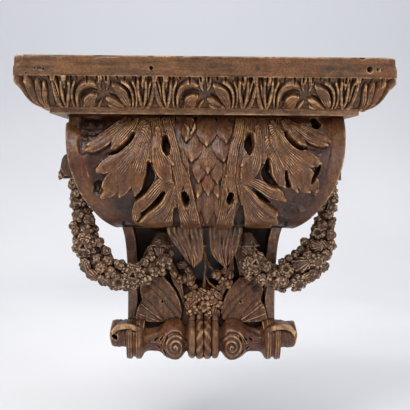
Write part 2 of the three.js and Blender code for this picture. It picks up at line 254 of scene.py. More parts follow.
def tube(name, rings, leaf=0.0):
    """A closed piece from rings of points, each end drawn to its middle."""
    count, around = rings.shape[:2]
    points = rings.reshape(-1, 3)
    ends = np.stack([rings[0].mean(0), rings[-1].mean(0)])
    first = np.arange(around)
    last = first + (count - 1) * around
    head, tail = count * around, count * around + 1
    caps = np.concatenate(
        [
            np.stack([np.full(around, head), first, np.roll(first, -1)], -1),
            np.stack([np.full(around, tail), np.roll(last, -1), last], -1),
        ]
    )
    marks = np.broadcast_to(leaf, (count, around)).ravel()
    marks = np.append(marks, marks[[0, -1]])
    cells = grid_cells(count, around, wrap=True)
    return mesh_object(name, np.concatenate([points, ends]), [cells, caps], marks)


def swept(places, turn, size):
    """Rings of points round a route, with the size of each ring at each turn, and the two
    directions square to the route and the one along it."""
    way = unit_rows(np.gradient(places, axis=0))
    across = unit_rows(np.cross(np.array([0, -1.0, 0]), way))
    over = np.cross(way, across)
    rings = (
        places[:, None]
        + across[:, None] * (np.cos(turn) * size)[..., None]
        + over[:, None] * (np.sin(turn) * size)[..., None]
    )
    return rings, across, over, way


def merged(name, objects):
    """Pieces that don't touch each other, held in one mesh."""
    data = bmesh.new()
    for obj in objects:
        data.from_mesh(obj.data)
        bpy.data.objects.remove(obj)
    mesh = bpy.data.meshes.new(name)
    data.to_mesh(mesh)
    data.free()
    obj = bpy.data.objects.new(name, mesh)
    bpy.context.scene.collection.objects.link(obj)
    return obj


def evaluated(obj):
    """Puts what the object's modifiers make in place of its mesh."""
    bpy.context.view_layer.update()
    graph = bpy.context.evaluated_depsgraph_get()
    mesh = bpy.data.meshes.new_from_object(obj.evaluated_get(graph), depsgraph=graph)
    obj.modifiers.clear()
    old = obj.data
    obj.data = mesh
    bpy.data.meshes.remove(old)
    return obj


def combined(base, others, operation="UNION"):
    """Joins the other pieces to the base, or cuts them out of it, and removes them."""
    for other in others:
        modifier = base.modifiers.new(operation.lower(), "BOOLEAN")
        modifier.operation = operation
        modifier.solver = "MANIFOLD"
        modifier.object = other
    evaluated(base)
    for other in others:
        bpy.data.objects.remove(other)
    return base


def thinned(obj, full, draft):
    """Collapses the flattest faces until the piece has about the given number of triangles."""
    obj.data.calc_loop_triangles()
    most = full
    have = len(obj.data.loop_triangles)
    if have > most:
        modifier = obj.modifiers.new("thin", "DECIMATE")
        modifier.ratio = most / have
        evaluated(obj)
    return obj


def largest_part(obj):
    """Drops loose crumbs that a cut has left, and keeps the biggest connected part."""
    data = bmesh.new()
    data.from_mesh(obj.data)
    data.verts.ensure_lookup_table()
    seen = np.zeros(len(data.verts), int)
    label = 0
    for start in data.verts:
        if seen[start.index]:
            continue
        label += 1
        seen[start.index] = label
        stack = [start]
        while stack:
            vertex = stack.pop()
            for edge in vertex.link_edges:
                other = edge.other_vert(vertex)
                if not seen[other.index]:
                    seen[other.index] = label
                    stack.append(other)
    best = np.bincount(seen)[1:].argmax() + 1
    crumbs = [v for v in data.verts if seen[v.index] != best]
    bmesh.ops.delete(data, geom=crumbs, context="VERTS")
    data.to_mesh(obj.data)
    data.free()
    return obj


def read_rows(items, key, kind, width=3):
    """The numbers that Blender holds under a key for each item, as rows."""
    held = np.empty(len(items) * width, kind)
    items.foreach_get(key, held)
    return held.reshape(-1, width)


def open_shares(mesh, places, normals, reach):
    """How open each point is to the air, felt with rays over a dome round its normal."""
    rays = 14
    corners = read_rows(mesh.loop_triangles, "vertices", int)
    tree = BVHTree.FromPolygons(places.tolist(), corners.tolist())
    draw = np.random.default_rng(5)
    heights = (np.arange(rays) + 0.5) / rays
    turns = np.arange(rays) * math.pi * (3 - math.sqrt(5))
    level = np.sqrt(1 - heights**2)
    dome = np.stack([np.cos(turns) * level, np.sin(turns) * level, heights], -1)
    helper = np.where(np.abs(normals[:, 2:]) < 0.9, [[0, 0, 1.0]], [[1.0, 0, 0]])
    across = np.cross(helper, normals)
    across /= np.linalg.norm(across, axis=1, keepdims=True) + 1e-12
    over = np.cross(normals, across)
    spin = draw.uniform(0, 2 * math.pi, len(places))
    a = across * np.cos(spin)[:, None] + over * np.sin(spin)[:, None]
    b = np.cross(normals, a)
    share = np.zeros(len(places))
    weight = 0.0
    off_surface = 0.0004
    start = places + normals * off_surface
    cast = tree.ray_cast
    for x, y, z in dome[:: 1]:
        way = a * x + b * y + normals * z
        gained = [
            (1.0 if d is None else d / reach)
            for d in (cast(s, w, reach)[3] for s, w in zip(start.tolist(), way.tolist()))
        ]
        share += np.array(gained) * (0.35 + z)
        weight += 0.35 + z
    return share / weight


def shade_and_wear_marks(obj, reach=0.03):
    """Stores how open each point is to the air and how much it stands proud of its neighbours, so
    that the finish can paint shade dark into hollows and grooves, and lighten crests as rubbed wear and
    painted highlight."""
    mesh = obj.data
    mesh.calc_loop_triangles()
    count = len(mesh.vertices)
    places = read_rows(mesh.vertices, "co", float)
    normals = read_rows(mesh.vertex_normals, "vector", float)
    open_share = open_shares(mesh, places, normals, reach)
    ends = read_rows(mesh.edges, "vertices", int, 2)
    away = places[ends[:, 1]] - places[ends[:, 0]]
    long = np.linalg.norm(away, axis=1, keepdims=True)
    away *= np.clip((0.006 - long) / 0.002, 0, 1) / (long + 1e-12)
    tally = np.bincount(ends.ravel(), minlength=count).astype(float) + 1e-9
    rise = np.bincount(ends[:, 0], -(away * normals[ends[:, 0]]).sum(1), count)
    rise += np.bincount(ends[:, 1], (away * normals[ends[:, 1]]).sum(1), count)

    def spread(values):
        near = np.bincount(ends[:, 0], values[ends[:, 1]], count)
        near += np.bincount(ends[:, 1], values[ends[:, 0]], count)
        return 0.5 * values + 0.5 * near / tally

    crest = np.clip(0.5 + spread(rise / tally) * 1.6, 0, 1)
    for key, values in (("openness", spread(open_share)), ("crest", crest)):
        held = mesh.attributes.new(key, "FLOAT", "POINT")
        held.data.foreach_set("value", values.astype(np.float32))
    return obj


def shaded(obj):
    obj.data.shade_smooth()
    obj.data.set_sharp_from_angle(angle=math.radians(48))
    return obj


# Carving on a sheet: a height for each point, and a mark that says leaf or ground, and below 0 painted shade
# and darker marks


class Relief:
    def __init__(self, across, down):
        self.across = across
        self.down = down
        self.height = np.zeros_like(across)
        self.leaf = np.zeros_like(across)

    def ribbon(self, stations, margin=3.0):
        """Where the points near a ribbon lie on it. A station is across, down, half width and
        height."""
        path = spline(stations, 6)
        place, width, height = path[:, :2], path[:, 2], path[:, 3]
        reach = width.max() + margin
        low, high = place.min(0) - reach, place.max(0) + reach
        near = (
            (self.across > low[0])
            & (self.across < high[0])
            & (self.down > low[1])
            & (self.down < high[1])
        )
        p = np.stack([self.across[near], self.down[near]], -1)
        a, d = place[:-1], np.diff(place, axis=0)
        t = np.einsum("nki,ki->nk", p[:, None] - a, d) / np.maximum((d**2).sum(1), 1e-9)
        t = np.clip(t, 0, 1)
        off = p[:, None] - a - t[..., None] * d
        far = (off**2).sum(-1)
        k = far.argmin(1)
        row = np.arange(len(p))
        t, off, far = t[row, k], off[row, k], np.sqrt(far[row, k])
        hand = np.where(d[k, 0] * off[:, 1] - d[k, 1] * off[:, 0] < 0, -1.0, 1.0)
        w = np.maximum(width[k] + (width[k + 1] - width[k]) * t, 0.3)
        h = height[k] + (height[k + 1] - height[k]) * t
        return near, (k + t) / len(d), hand * far, w, h

    def lobe(
        self, stations, vein=0.5, crown=0.22, lip=0.5, wall=1.5, pitch=2.7, foot=-3.0, tone=1.0, fading=0.6
    ):
        """A leaf lobe with veins that run along it and close up towards its root."""
        near, along, side, w, h = self.ribbon(stations)
        if not len(along):
            return
        inside = smooth01((w - np.abs(side)) / wall + 0.5)
        share = np.clip(np.abs(side) / w, 0, 1)
        lines = max(2.0, 2 * w.max() / pitch)
        at = self.across[near], self.down[near]
        ridge = np.cos(side / w * math.pi * lines + 1.5 * mottle(*at, 10, 7))
        ridge = ridge * (0.35 + 0.8 * smooth01(0.6 + 0.8 * mottle(*at, 7, 9)))
        fade = 1.0 - fading * smooth01((along - 0.3) / 0.45)
        top = h * (1 - crown * share**2) + lip * bump(share, 0.86, 0.2)
        top = top + vein * ridge * fade * smooth01((1 - share) * 5)
        made = np.where(inside > 0.001, foot + (top - foot) * inside, -99.0)
        held = self.height[near]
        self.height[near] = np.maximum(held, made)
        self.leaf[near] = np.where(made > held, tone * inside, self.leaf[near])

    def pit(self, stations, wall=1.7):
        """A hole cut in, with steep sides. Its stations carry depth in place of height."""
        near, _, side, w, depth = self.ribbon(stations)
        if not len(w):
            return
        k = smooth01((w - np.abs(side)) / wall + 0.5)
        self.height[near] = self.height[near] * (1 - k) - depth * k
        self.leaf[near] *= 1 - 0.6 * k

    def groove(self, stations, depth=1.0):
        near, _, side, w, _ = self.ribbon(stations)
        if len(w):
            self.height[near] -= depth * smooth01(1 - np.abs(side) / w)

    def ridge(self, stations, rise=1.0):
        self.groove(stations, -rise)


# The shelf

moulding_inset = profile(
    [
        (FILLET_TOP, MOULDING_INSET - 3),
        (FILLET_TOP + 5, 29),
        (FILLET_TOP + 11, 23),
        (FILLET_TOP + 18, 18.5),
        (FILLET_TOP + 26, 13),
        (FASCIA_FOOT - 3, 6),
        (FASCIA_FOOT, 0),
    ]
)
UNIT = 128.0  # one repeat of the leaf moulding

# Half of one repeat of the leaf moulding, outward from its middle: across, down, half width, height
HALF_UNIT = [
    [(39.5, 34, 1.4, 4), (41, 24, 1.8, 6), (40, 13, 2.0, 7), (36.5, 5, 1.3, 6)],
    [(48.7, 33, 2.0, 5.5), (45.8, 25, 2.6, 7), (43.6, 15, 2.4, 7), (44, 5, 2.2, 6)],
    [(49.3, 33, 2.0, 5.5), (52.2, 25, 2.4, 6.5), (53.6, 15, 2.2, 6.5), (53, 5, 2.0, 6)],
    [(49, 1, 3.0, 5.5), (49, 7, 2.6, 5.5), (49, 13, 1.2, 4)],
    [(55.8, 26, 1.2, 4), (56.3, 20, 1.7, 5.5), (57.5, 12, 1.7, 6), (59.5, 4, 1.4, 5.5)],
    [(64, 5, 2.0, 6.5), (63, 13, 2.8, 7.5), (61, 22, 3.0, 7), (57.8, 30, 2.6, 6), (53.8, 35.5, 2.0, 5.5)],
    [(64, 0, 4.4, 5), (64, 6, 2.4, 5.5)],
    [(4, 2, 3.5, 3.5), (5, 9, 2.5, 4), (3, 15, 1.0, 3)],
]
# What differs between the halves: a curl on the left, a long leaf over a crescent on the right
LEFT_HALF = [
    [
        (35, 33, 1.6, 4.5), (35, 24, 2.2, 6.5), (32, 15, 3.0, 7.5), (26, 9, 3.8, 8), (17, 6, 3.2, 8),
        (10, 7.5, 1.2, 7),
    ],
    [(25, 33.5, 3, 4), (20.5, 28, 6.8, 9), (15, 23.5, 5.6, 9), (10.5, 21.5, 2.0, 7)],
    [(8, 35.3, 1.2, 3.5), (6, 31, 1.8, 5), (2, 27, 1.0, 4)],
]
RIGHT_HALF = [
    [(24, 34, 1.5, 4), (17, 30.5, 2.9, 6.5), (9, 26.5, 3.0, 7.5), (3, 24.5, 1.2, 6)],
    [(22, 35.3, 1.5, 3.5), (13, 34, 2.0, 5), (6, 32, 1.2, 5)],
    [(31, 34, 2.2, 4.5), (28.5, 27, 5.0, 7.5), (23.5, 19, 6.4, 8.5), (17, 12.5, 5.0, 8.5), (11, 7.5, 1.4, 7)],
    [(35, 34, 1.4, 4.5), (36, 25, 1.8, 6), (34, 15, 2.1, 7), (29, 7.5, 1.8, 7), (22, 4, 1.0, 6)],
]
LEFT_HALF_PITS = [
    [(29.5, 28, 0.8, 2.5), (26, 19, 1.6, 3.2), (18, 15, 1.8, 3.2), (9, 16.5, 1.1, 2.5)],
]
RIGHT_HALF_PITS = [
    [(22, 29, 1.0, 2.5), (14, 23.5, 1.5, 3), (8, 21, 1.2, 2)],
    [(32.5, 24, 0.7, 2.5), (30, 15, 0.8, 2.5), (24, 10, 0.6, 2)],
]
HALF_UNIT_PITS = [
    [(57.5, 1.5, 1.8, 3), (57.5, 5, 1.2, 3)],
    [(40, 1.5, 1.6, 3), (41, 4.5, 1.0, 3)],
    [(49, 23, 0.7, 2), (49, 27, 0.9, 2)],
    [(64, 23, 1.0, 2), (64, 34, 3.2, 2)],
]
# The leaves that fan out on each side of a corner, and the one along its mitre
CORNER_LEAVES = [
    [(4, 35, 3, 5), (9, 26, 5, 8), (13, 15, 6, 9), (15, 4, 3.5, 9)],
    [(10, 35, 2, 4), (18, 27, 3.8, 6.5), (24, 16, 4.6, 8), (27, 5, 2.4, 8)],
    [(19, 35, 1.6, 4), (27, 28, 3.0, 6.5), (33, 18, 3.6, 7.5), (36, 7, 2, 7)],
]
MITRE_LEAF = [(0, 35, 3, 6), (0, 20, 3.4, 9), (0, 3, 2.5, 8)]


def placed(stations, middle=0.0, hand=1, broad=1.0, rise=1.0):
    """Stations moved to a middle, on the given hand of it, wider and higher by the given shares."""
    return [(middle + hand * s[0], s[1], s[2] * broad, s[3] * rise) for s in stations]


def shelf_relief(along, down):
    """The moulding's carving, along the left end, the front and the right end. Along is the
    distance from the middle of the front."""
    relief = Relief(along, down)
    relief.height += 0.35 * mottles(along, down, 5, 11)
    corner = SHELF_HALF
    ends = [corner + SHELF_DEPTH - 1.2 * UNIT, corner + SHELF_DEPTH - 0.2 * UNIT]
    middles = [-UNIT, 0.0, UNIT] + ends + [-v for v in ends]
    halves = ((-1, LEFT_HALF, LEFT_HALF_PITS), (1, RIGHT_HALF, RIGHT_HALF_PITS))
    draw = np.random.default_rng(13)
    for middle in middles:
        for hand, lobes, pits in halves:
            for stations in HALF_UNIT + lobes:
                moved = placed(stations, middle + draw.uniform(-0.7, 0.7), hand)
                relief.lobe(moved, vein=0.28, lip=0.3, wall=1.5, foot=0.0, pitch=3.2)
            for stations in HALF_UNIT_PITS + pits:
                relief.pit(placed(stations, middle, hand), wall=1.4)
    for side in (-1, 1):
        for hand in (-1, 1):
            for stations in CORNER_LEAVES:
                moved = placed(stations, side * corner, hand)
                relief.lobe(moved, vein=0.35, wall=1.5, foot=0.0, pitch=2.8)
        relief.lobe(placed(MITRE_LEAF, side * corner), vein=0.2, foot=0.0)
    at = -corner + 6.0
    while at < corner - 4:
        relief.pit([(at, 0.5, 1.5, 2.0), (at + draw.uniform(-1, 1), 4.0, 0.8, 2.0)], wall=1.3)
        at += draw.uniform(9, 14)
    top = smooth01(down / 1.5)
    foot = smooth01((FASCIA_FOOT - FILLET_TOP - down) / 1.5)
    relief.height *= top * foot
    return relief


# Marks in the plain band along the front: across, height above the band's foot, half length, half
# height and depth
FASCIA_MARKS = [
    (-213, 9, 1.2, 1.2, 2),
    (-207, 8.5, 2.6, 2.4, 1.2),
    (-202, 7.5, 1.2, 1.2, 2),
    (-68, 10, 1.9, 1.9, 6),
    (65, 9.5, 3.0, 2.6, 0.7),
    (155, 10, 4.2, 3.2, 1.0),
    (206, 10.5, 3.3, 3.2, 8),
    (216, 10.5, 1.6, 2.2, 3),
    (221, 9.5, 1.0, 1.6, 2),
    (-224, 2.0, 1.0, 1.0, 3),
    (196, 24.5, 3.5, 1.6, 2.0),
    (-120, 24.6, 10.0, 1.0, 1.0),
    (40, 0.6, 12.0, 1.0, 0.8),
    (-170, 0.5, 9.0, 1.2, 0.9),
]


def outline_place(along, reach):
    """A point of the shelf's outline, its ends mitred into its front. Along is as in shelf_relief,
    and reach is how far the surface stands out from the widest outline."""
    near = 50.0  # the stretch beside a corner that takes up the mitre
    from_corner = SHELF_HALF - near
    hand = np.sign(along)
    on_front = np.abs(along) <= SHELF_HALF
    held = np.abs(hand * np.minimum(np.abs(along), SHELF_HALF))
    held = np.where(
        held > from_corner, from_corner + (held - SHELF_HALF + near) * (near + reach) / near, held
    )
    back = np.maximum(np.abs(along) - SHELF_HALF, 0.0)
    back = np.where(back < near, near - (near - back) * (near + reach) / near, back)
    x = np.where(on_front, hand * held, hand * (SHELF_HALF + reach))
    return x, np.where(on_front, -(SHELF_DEPTH + reach), -(SHELF_DEPTH - back))


def band_carving(s, z, fascia, fillet):
    """The wear of the shelf's two plain bands, as a height and a stain."""
    wave = 0.28 * mottles(s, z * 3, 34, 21) + 0.12 * mottles(s, z * 4, 6, 24)
    height = np.where(fascia, wave, 0.0)
    height = np.where(fillet, 0.3 * mottles(s, z * 3, 16, 31) - 0.2, height)
    stain = np.zeros_like(z)
    for across, up, half, high, depth in FASCIA_MARKS:
        far = np.hypot((s - across) / half, (z - FASCIA_FOOT - up) / high)
        stain += np.where(fascia, 0.45 * smooth01((2.0 - far) / 1.0), 0)
        height -= np.where(fascia, depth * smooth01((1.25 - far) / 0.4), 0)
    crack = np.abs(s - 124 - 0.5 * np.sin(z)) < 0.7
    height -= np.where(fascia & crack & (z < 104), 0.5, 0)
    nicks = np.maximum(mottles(s, s * 0, 17, 41) - 0.25, 0) * bump(z, SHELF_TOP, 5) * 2.6
    height -= np.where(fascia, nicks, 0)
    corner = np.abs(np.abs(s) - SHELF_HALF)
    worn = np.where(s < 0, 5.0, 3.0)
    height -= 1.0 * np.maximum(1 - corner / worn, 0) ** 2
    rounded = np.where(s < 0, 10.0, 6.5) * smooth01((z - 92) / 18) ** 1.3
    height -= rounded * smooth01(1 - corner / 13)
    return height, stain


def capped(obj):
    """Fills the open ends of a mesh with triangles and turns its faces outward."""
    data = bmesh.new()
    data.from_mesh(obj.data)
    open_edges = [e for e in data.edges if e.is_boundary]
    bmesh.ops.holes_fill(data, edges=open_edges, sides=0)
    bmesh.ops.triangulate(data, faces=[f for f in data.faces if len(f.verts) > 4])
    bmesh.ops.recalc_face_normals(data, faces=data.faces)
    data.to_mesh(obj.data)
    data.free()
    return obj


def build_shelf():
    """The shelf, as one sheet of points round its front, its ends and its back."""
    span = SHELF_HALF + SHELF_DEPTH
    along = np.linspace(-span, span, steps(2 * span, 0.95) + 1)
    moulding = np.linspace(FASCIA_FOOT, FILLET_TOP, steps(FASCIA_FOOT - FILLET_TOP, 0.85) + 1)
    z_rows = np.concatenate(
        [
            [SHELF_TOP, SHELF_TOP, SHELF_TOP - 0.6, SHELF_TOP - 1.4],
            np.linspace(SHELF_TOP - 2.5, FASCIA_FOOT + 1.0, steps(22, 1.2)),
            [FASCIA_FOOT + 0.4],
            moulding,
            [FILLET_TOP - 0.8],
            np.linspace(FILLET_TOP - 1.6, SHELF_FOOT + 0.8, steps(7.6, 1.3)),
            [SHELF_FOOT, SHELF_FOOT],
        ]
    )
    z, s = np.meshgrid(z_rows, along, indexing="ij")
    in_moulding = (z <= FASCIA_FOOT) & (z >= FILLET_TOP)
    inset = np.zeros_like(z)
    inset[:4] = np.array([4.0, 1.8, 0.7, 0.15])[:, None]
    inset = np.where(in_moulding, moulding_inset(z), inset)
    inset = np.where(z < FILLET_TOP, MOULDING_INSET, inset)
    inset[-1], inset[-2] = MOULDING_INSET + 4.0, MOULDING_INSET + 0.6
    slope = np.where(in_moulding, (moulding_inset(z - 1) - moulding_inset(z + 1)) / 2, 0.0)
    out = 1 / np.hypot(1, slope)
    relief = shelf_relief(s, np.clip(FASCIA_FOOT - z, 0, FASCIA_FOOT - FILLET_TOP))
    fascia = (z > FASCIA_FOOT + 0.2) & (z < SHELF_TOP - 0.1)
    fillet = (z < FILLET_TOP - 0.5) & (z > SHELF_FOOT + 0.2)
    worn, stain = band_carving(s, z, fascia, fillet)
    lift = np.where(in_moulding, relief.height, 0.0) + worn
    reach = np.minimum(-inset + lift * out, 0.0)
    height = np.clip(z - lift * slope * out, SHELF_FOOT, SHELF_TOP)
    x, y = outline_place(s, reach)
    front = np.stack([x, np.minimum(y, 0.0), height], -1)
    # The fillet's band of paler tone is partly the wood's own colour and partly a painted highlight along it
    band = 2.8 * smooth01((FILLET_TOP - z) / 2) * smooth01((z - SHELF_FOOT) / 1.5)
    leaf = np.where(in_moulding, 0.6 * relief.leaf, band - stain)
    back_count = 40
    turn = np.linspace(0, 1, back_count + 2)[None, 1:-1, None]
    back = front[:, -1:, :] * (1 - turn) + front[:, :1, :] * turn
    back[..., 1] = 0.0
    front[:, 0, 1] = 0.0
    front[:, -1, 1] = 0.0
    rings = np.concatenate([front, back], 1)
    leaf = np.concatenate([leaf, np.repeat(leaf[:, -1:], back_count, 1)], 1)
    cells = grid_cells(*rings.shape[:2], wrap=True)
    return capped(mesh_object("moulded_shelf.carved", rings.reshape(-1, 3), [cells], leaf))


# The bulging upper part of the body. Drop is measured down from its top.

bulge_half = profile(
    [
        (0, BULGE_HALF), (25, BULGE_HALF + 0.5), (62, 180), (97, 167.5), (118, 154.5), (135, 141),
        (145, 129), (BULGE_HEIGHT, 119),
    ]
)


def bulge_front(drop):
    """The depth of the bulge's belly along its middle."""
    up = np.clip((BELLY_DROP - drop) / BELLY_DROP, 0, 1)
    down = np.clip((drop - BELLY_DROP) / (BULGE_HEIGHT - BELLY_DROP), 0, 1)
    return np.where(drop < BELLY_DROP, 213 - 25 * up**2, 154 + 59 * np.sqrt(1 - down**2))


def bulge_rear(drop):
    """The depth of the cove behind the bulge, which runs out into its lip."""
    cove = 112 * (np.clip(drop - 66, 0, 34) / 34) ** 2
    down = np.clip((drop - 100) / (BULGE_HEIGHT - 100), 0, 1)
    return np.where(drop < 100, cove, 142 - 30 * np.sqrt(1 - down**2))


def bulge_depth(x, drop):
    """The depth of the bulge's front, which falls back a little towards its sides."""
    share = np.clip(x / bulge_half(drop), -1, 1)
    return bulge_front(drop) - 16 * share**2


# The acanthus leaf on each half, root to tip: distance from the middle, drop, half width, height.
# The two halves were carved by eye and differ.
LEFT_LEAF = {
    "top_a": [
        (105, 3, 1.7, 5), (113, 12, 2.9, 7), (124, 23, 3.6, 9), (135, 33, 3.6, 11), (148, 41, 2.9, 13),
        (152, 43, 1.2, 13),
    ],
    "top_b": [
        (100, 6, 1.9, 6), (109, 18, 3.9, 8), (121, 29, 5.1, 10), (132, 39, 5, 12), (144, 46, 4.3, 14),
        (153, 49, 1.7, 14),
    ],
    "top_c": [
        (91, 7, 2.7, 7), (97, 18, 5.1, 9), (105, 29, 6.7, 11), (113, 38, 6.5, 12), (118, 44, 4.1, 13),
        (121, 47, 1.4, 13),
    ],
    "side_a": [
        (82, 9, 2.4, 8), (87, 24, 4.1, 9), (96, 41, 5.3, 11), (107, 53, 6, 12), (120, 63, 6.7, 13),
        (130, 69, 6.2, 14), (137, 72, 3.3, 14),
    ],
    "side_b": [
        (78, 12, 2.4, 9), (82, 32, 4.1, 10), (90, 51, 6, 12), (102, 67, 7.9, 13), (115, 82, 9.3, 14),
        (124, 93, 8.6, 15), (131, 99, 4.8, 15),
    ],
    "side_c": [
        (75, 15, 2.2, 9.5), (79, 36, 3.6, 10.5), (85, 55, 5, 12), (93, 73, 6.7, 13.5), (102, 88, 6.4, 14.5),
        (108, 98, 4.1, 15), (110, 102, 1.4, 15),
    ],
    "side_d": [
        (73, 20, 1.9, 9), (76, 42, 3.6, 10.5), (80, 61, 5.2, 12), (85, 78, 6.4, 13.5), (88, 91, 5.5, 14.5),
        (90, 101, 1.7, 14),
    ],
    "turned_a": [
        (63, 20, 2.6, 8), (63, 36, 4.8, 9.5), (61, 50, 7.1, 11), (57, 63, 9.3, 12.5), (53, 74, 7.8, 13),
        (48, 82, 4.7, 13), (43, 86, 1.7, 12),
    ],
    "turned_b": [(57, 50, 3.6, 11), (49, 59, 4.3, 12.5), (42, 65, 1.9, 13)],
    "stem_a": [
        (53, 3, 4.9, 7), (47, 26, 5.3, 9), (41, 48, 5.7, 10.5), (37, 68, 6.4, 11), (34, 85, 5.2, 11),
        (37, 99, 4, 10.5), (39, 114, 1.4, 9.5),
    ],
    "stem_b": [
        (33, 63, 2.4, 9.5), (27, 82, 4.8, 10.5), (21, 99, 4.5, 11), (18, 113, 4.8, 12), (15, 128, 6.2, 13),
        (13, 141, 6.8, 12),
    ],
    "foot_a": [
        (35, 97, 2.4, 10.5), (34, 109, 3.1, 11), (30, 121, 4.8, 12), (25, 132, 6.3, 13), (21, 142, 6.1, 12),
    ],
    "low_a": [
        (50, 73, 2.4, 10.5), (56, 85, 4.8, 11.5), (65, 94, 6.4, 12.5), (75, 104, 6.9, 13.5),
        (84, 112, 6.5, 14.5), (89, 118, 4.3, 15),
    ],
    "low_b": [
        (43, 87, 2.4, 11), (48, 100, 4, 12), (55, 112, 4.5, 13), (65, 120, 4.8, 13.5), (74, 125, 4.8, 14),
        (82, 130, 4.1, 14.5), (85, 135, 2.4, 14),
    ],
    "low_c": [
        (41, 92, 2.4, 11), (45, 107, 4.1, 12), (51, 120, 5.5, 13), (61, 130, 6.3, 14), (72, 138, 6.1, 14.5),
        (81, 142, 3.7, 14),
    ],
    "low_d": [
        (40, 99, 1.9, 10.5), (42, 115, 3.6, 12), (47, 127, 5.5, 13), (53, 137, 6.8, 14), (63, 146, 6.9, 14),
        (71, 151, 4.2, 13),
    ],
    "low_e": [
        (87, 114, 3.6, 13), (90, 124, 4.3, 13), (87, 133, 4.8, 13), (80, 141, 4.9, 13),
        (72, 147, 4.9, 12.5),
    ],
}
LEFT_PITS = [
    [(94, 28, 2.4, 12), (98, 35, 2.9, 13), (106, 43, 2.9, 13), (115, 50, 2.4, 12), (124, 53, 1.4, 9)],
    [
        (74, 63, 1.7, 12), (73, 71, 3.6, 14), (72, 79, 5.5, 14), (75, 88, 5, 14), (80, 97, 3.3, 12),
        (90, 106, 1.9, 6),
    ],
    [(28, 101, 3.6, 13), (26, 106, 4.5, 14), (25, 113, 2.6, 13)],
    [(53, 32, 3.1, 13), (52, 41, 5.2, 14), (51, 48, 4.5, 14), (50, 53, 1.9, 13)],
    [
        (54, 99, 1.7, 12), (60, 108, 2.6, 13), (67, 114, 2.6, 12), (76, 120, 1.9, 10), (83, 127, 1, 6),
        (88, 132, 0.5, 4),
    ],
    [(40, 117, 1, 10), (39, 126, 3.1, 14), (38, 136, 4.6, 14), (38, 147, 5.1, 14)],
]
RIGHT_LEAF = {
    "top_a": [
        (108, 6, 1.7, 5), (118, 14, 2.9, 7), (129, 20, 3.9, 9), (141, 27, 4.8, 11), (152, 33, 4.3, 13),
        (159, 37, 1.7, 14),
    ],
    "top_b": [
        (103, 5, 1.7, 6), (112, 15, 3.1, 8), (124, 25, 4.1, 10), (136, 33, 5, 12), (148, 38, 4.1, 13),
        (156, 41, 1.4, 13),
    ],
    "top_c": [(100, 8, 2.2, 7), (107, 21, 4.1, 9), (114, 31, 5, 11), (122, 38, 4.8, 12), (128, 43, 1.7, 12)],
    "side_a": [
        (86, 8, 2.4, 8), (93, 24, 4.1, 9), (102, 38, 5.3, 11), (113, 49, 6.5, 12), (126, 55, 6.4, 13),
        (137, 60, 5.5, 14), (146, 64, 2.6, 14),
    ],
    "side_e": [
        (95, 35, 2.4, 10), (106, 49, 4.8, 12), (119, 59, 5.5, 13), (130, 64, 4.1, 13.5),
        (137, 66, 1.4, 13.5),
    ],
    "side_b": [
        (83, 14, 2.4, 9), (90, 35, 4.1, 10.5), (101, 53, 6, 12), (114, 67, 7.9, 13.5), (128, 78, 8.6, 14.5),
        (137, 87, 6.9, 15), (141, 93, 3.1, 15),
    ],
    "side_c": [
        (87, 31, 1.9, 9.5), (96, 52, 4.1, 11), (106, 66, 5.2, 12), (117, 79, 5.7, 13.5),
        (125, 90, 4.8, 14.5), (132, 95, 2.2, 14.5),
    ],
    "side_f": [
        (83, 31, 1.7, 9), (91, 53, 3.1, 10.5), (98, 66, 4, 12), (105, 78, 4.8, 13), (112, 88, 4.1, 13.5),
        (117, 96, 1.4, 13),
    ],
    "side_d": [
        (77, 31, 1.9, 9), (81, 48, 3.3, 10.5), (87, 62, 4.5, 12), (91, 74, 5.9, 13), (96, 84, 5.2, 13.5),
        (100, 90, 1.7, 13),
    ],
    "turned_a": [
        (66, 17, 2.9, 8), (66, 35, 4.8, 9.5), (63, 49, 6.7, 11), (59, 63, 8.8, 12.5), (54, 73, 8.8, 13),
        (50, 82, 6.2, 13), (46, 88, 2.1, 12),
    ],
    "turned_b": [(58, 53, 3.6, 11), (51, 60, 4, 12.5), (45, 66, 1.9, 13)],
    "stem_a": [
        (44, 2, 4.9, 7), (41, 26, 5.3, 9), (35, 47, 5.5, 10.5), (32, 67, 5.7, 11), (31, 84, 4.8, 11),
        (35, 98, 4, 10.5), (40, 109, 1.7, 9.5),
    ],
    "stem_b": [
        (26, 79, 2.4, 10), (24, 97, 3.6, 11), (23, 113, 4.3, 12), (21, 128, 5.5, 13), (20, 141, 6.1, 12),
    ],
    "foot_a": [
        (38, 106, 1.9, 10), (36, 114, 2.9, 11.5), (32, 124, 4.8, 12.5), (29, 134, 6.8, 13),
        (28, 143, 7.3, 12),
    ],
    "low_a": [
        (46, 84, 2.4, 11), (58, 85, 4.3, 12), (70, 90, 5.2, 12.5), (82, 96, 5.7, 13.5), (93, 100, 5, 14),
        (101, 105, 2.2, 14),
    ],
    "low_b": [
        (46, 88, 2.4, 12), (56, 97, 2.9, 13), (66, 107, 2.9, 13.5), (77, 116, 3.4, 14),
        (87, 122, 3.8, 14.5), (91, 122, 1.9, 14.5),
    ],
    "low_c": [
        (45, 90, 2.4, 11.5), (53, 103, 3.6, 12.5), (64, 116, 5, 13.5), (76, 126, 6, 14), (87, 131, 5.8, 14),
        (92, 134, 2.9, 13.5),
    ],
    "low_d": [
        (45, 95, 1.9, 11), (50, 110, 3.3, 12), (58, 125, 5.3, 13), (69, 137, 6.8, 13.5), (81, 142, 6.1, 13),
    ],
    "low_e": [
        (45, 101, 1.4, 10.5), (49, 115, 2.6, 12), (54, 129, 4.3, 13), (59, 141, 5.4, 13),
        (64, 148, 4.9, 12),
    ],
}
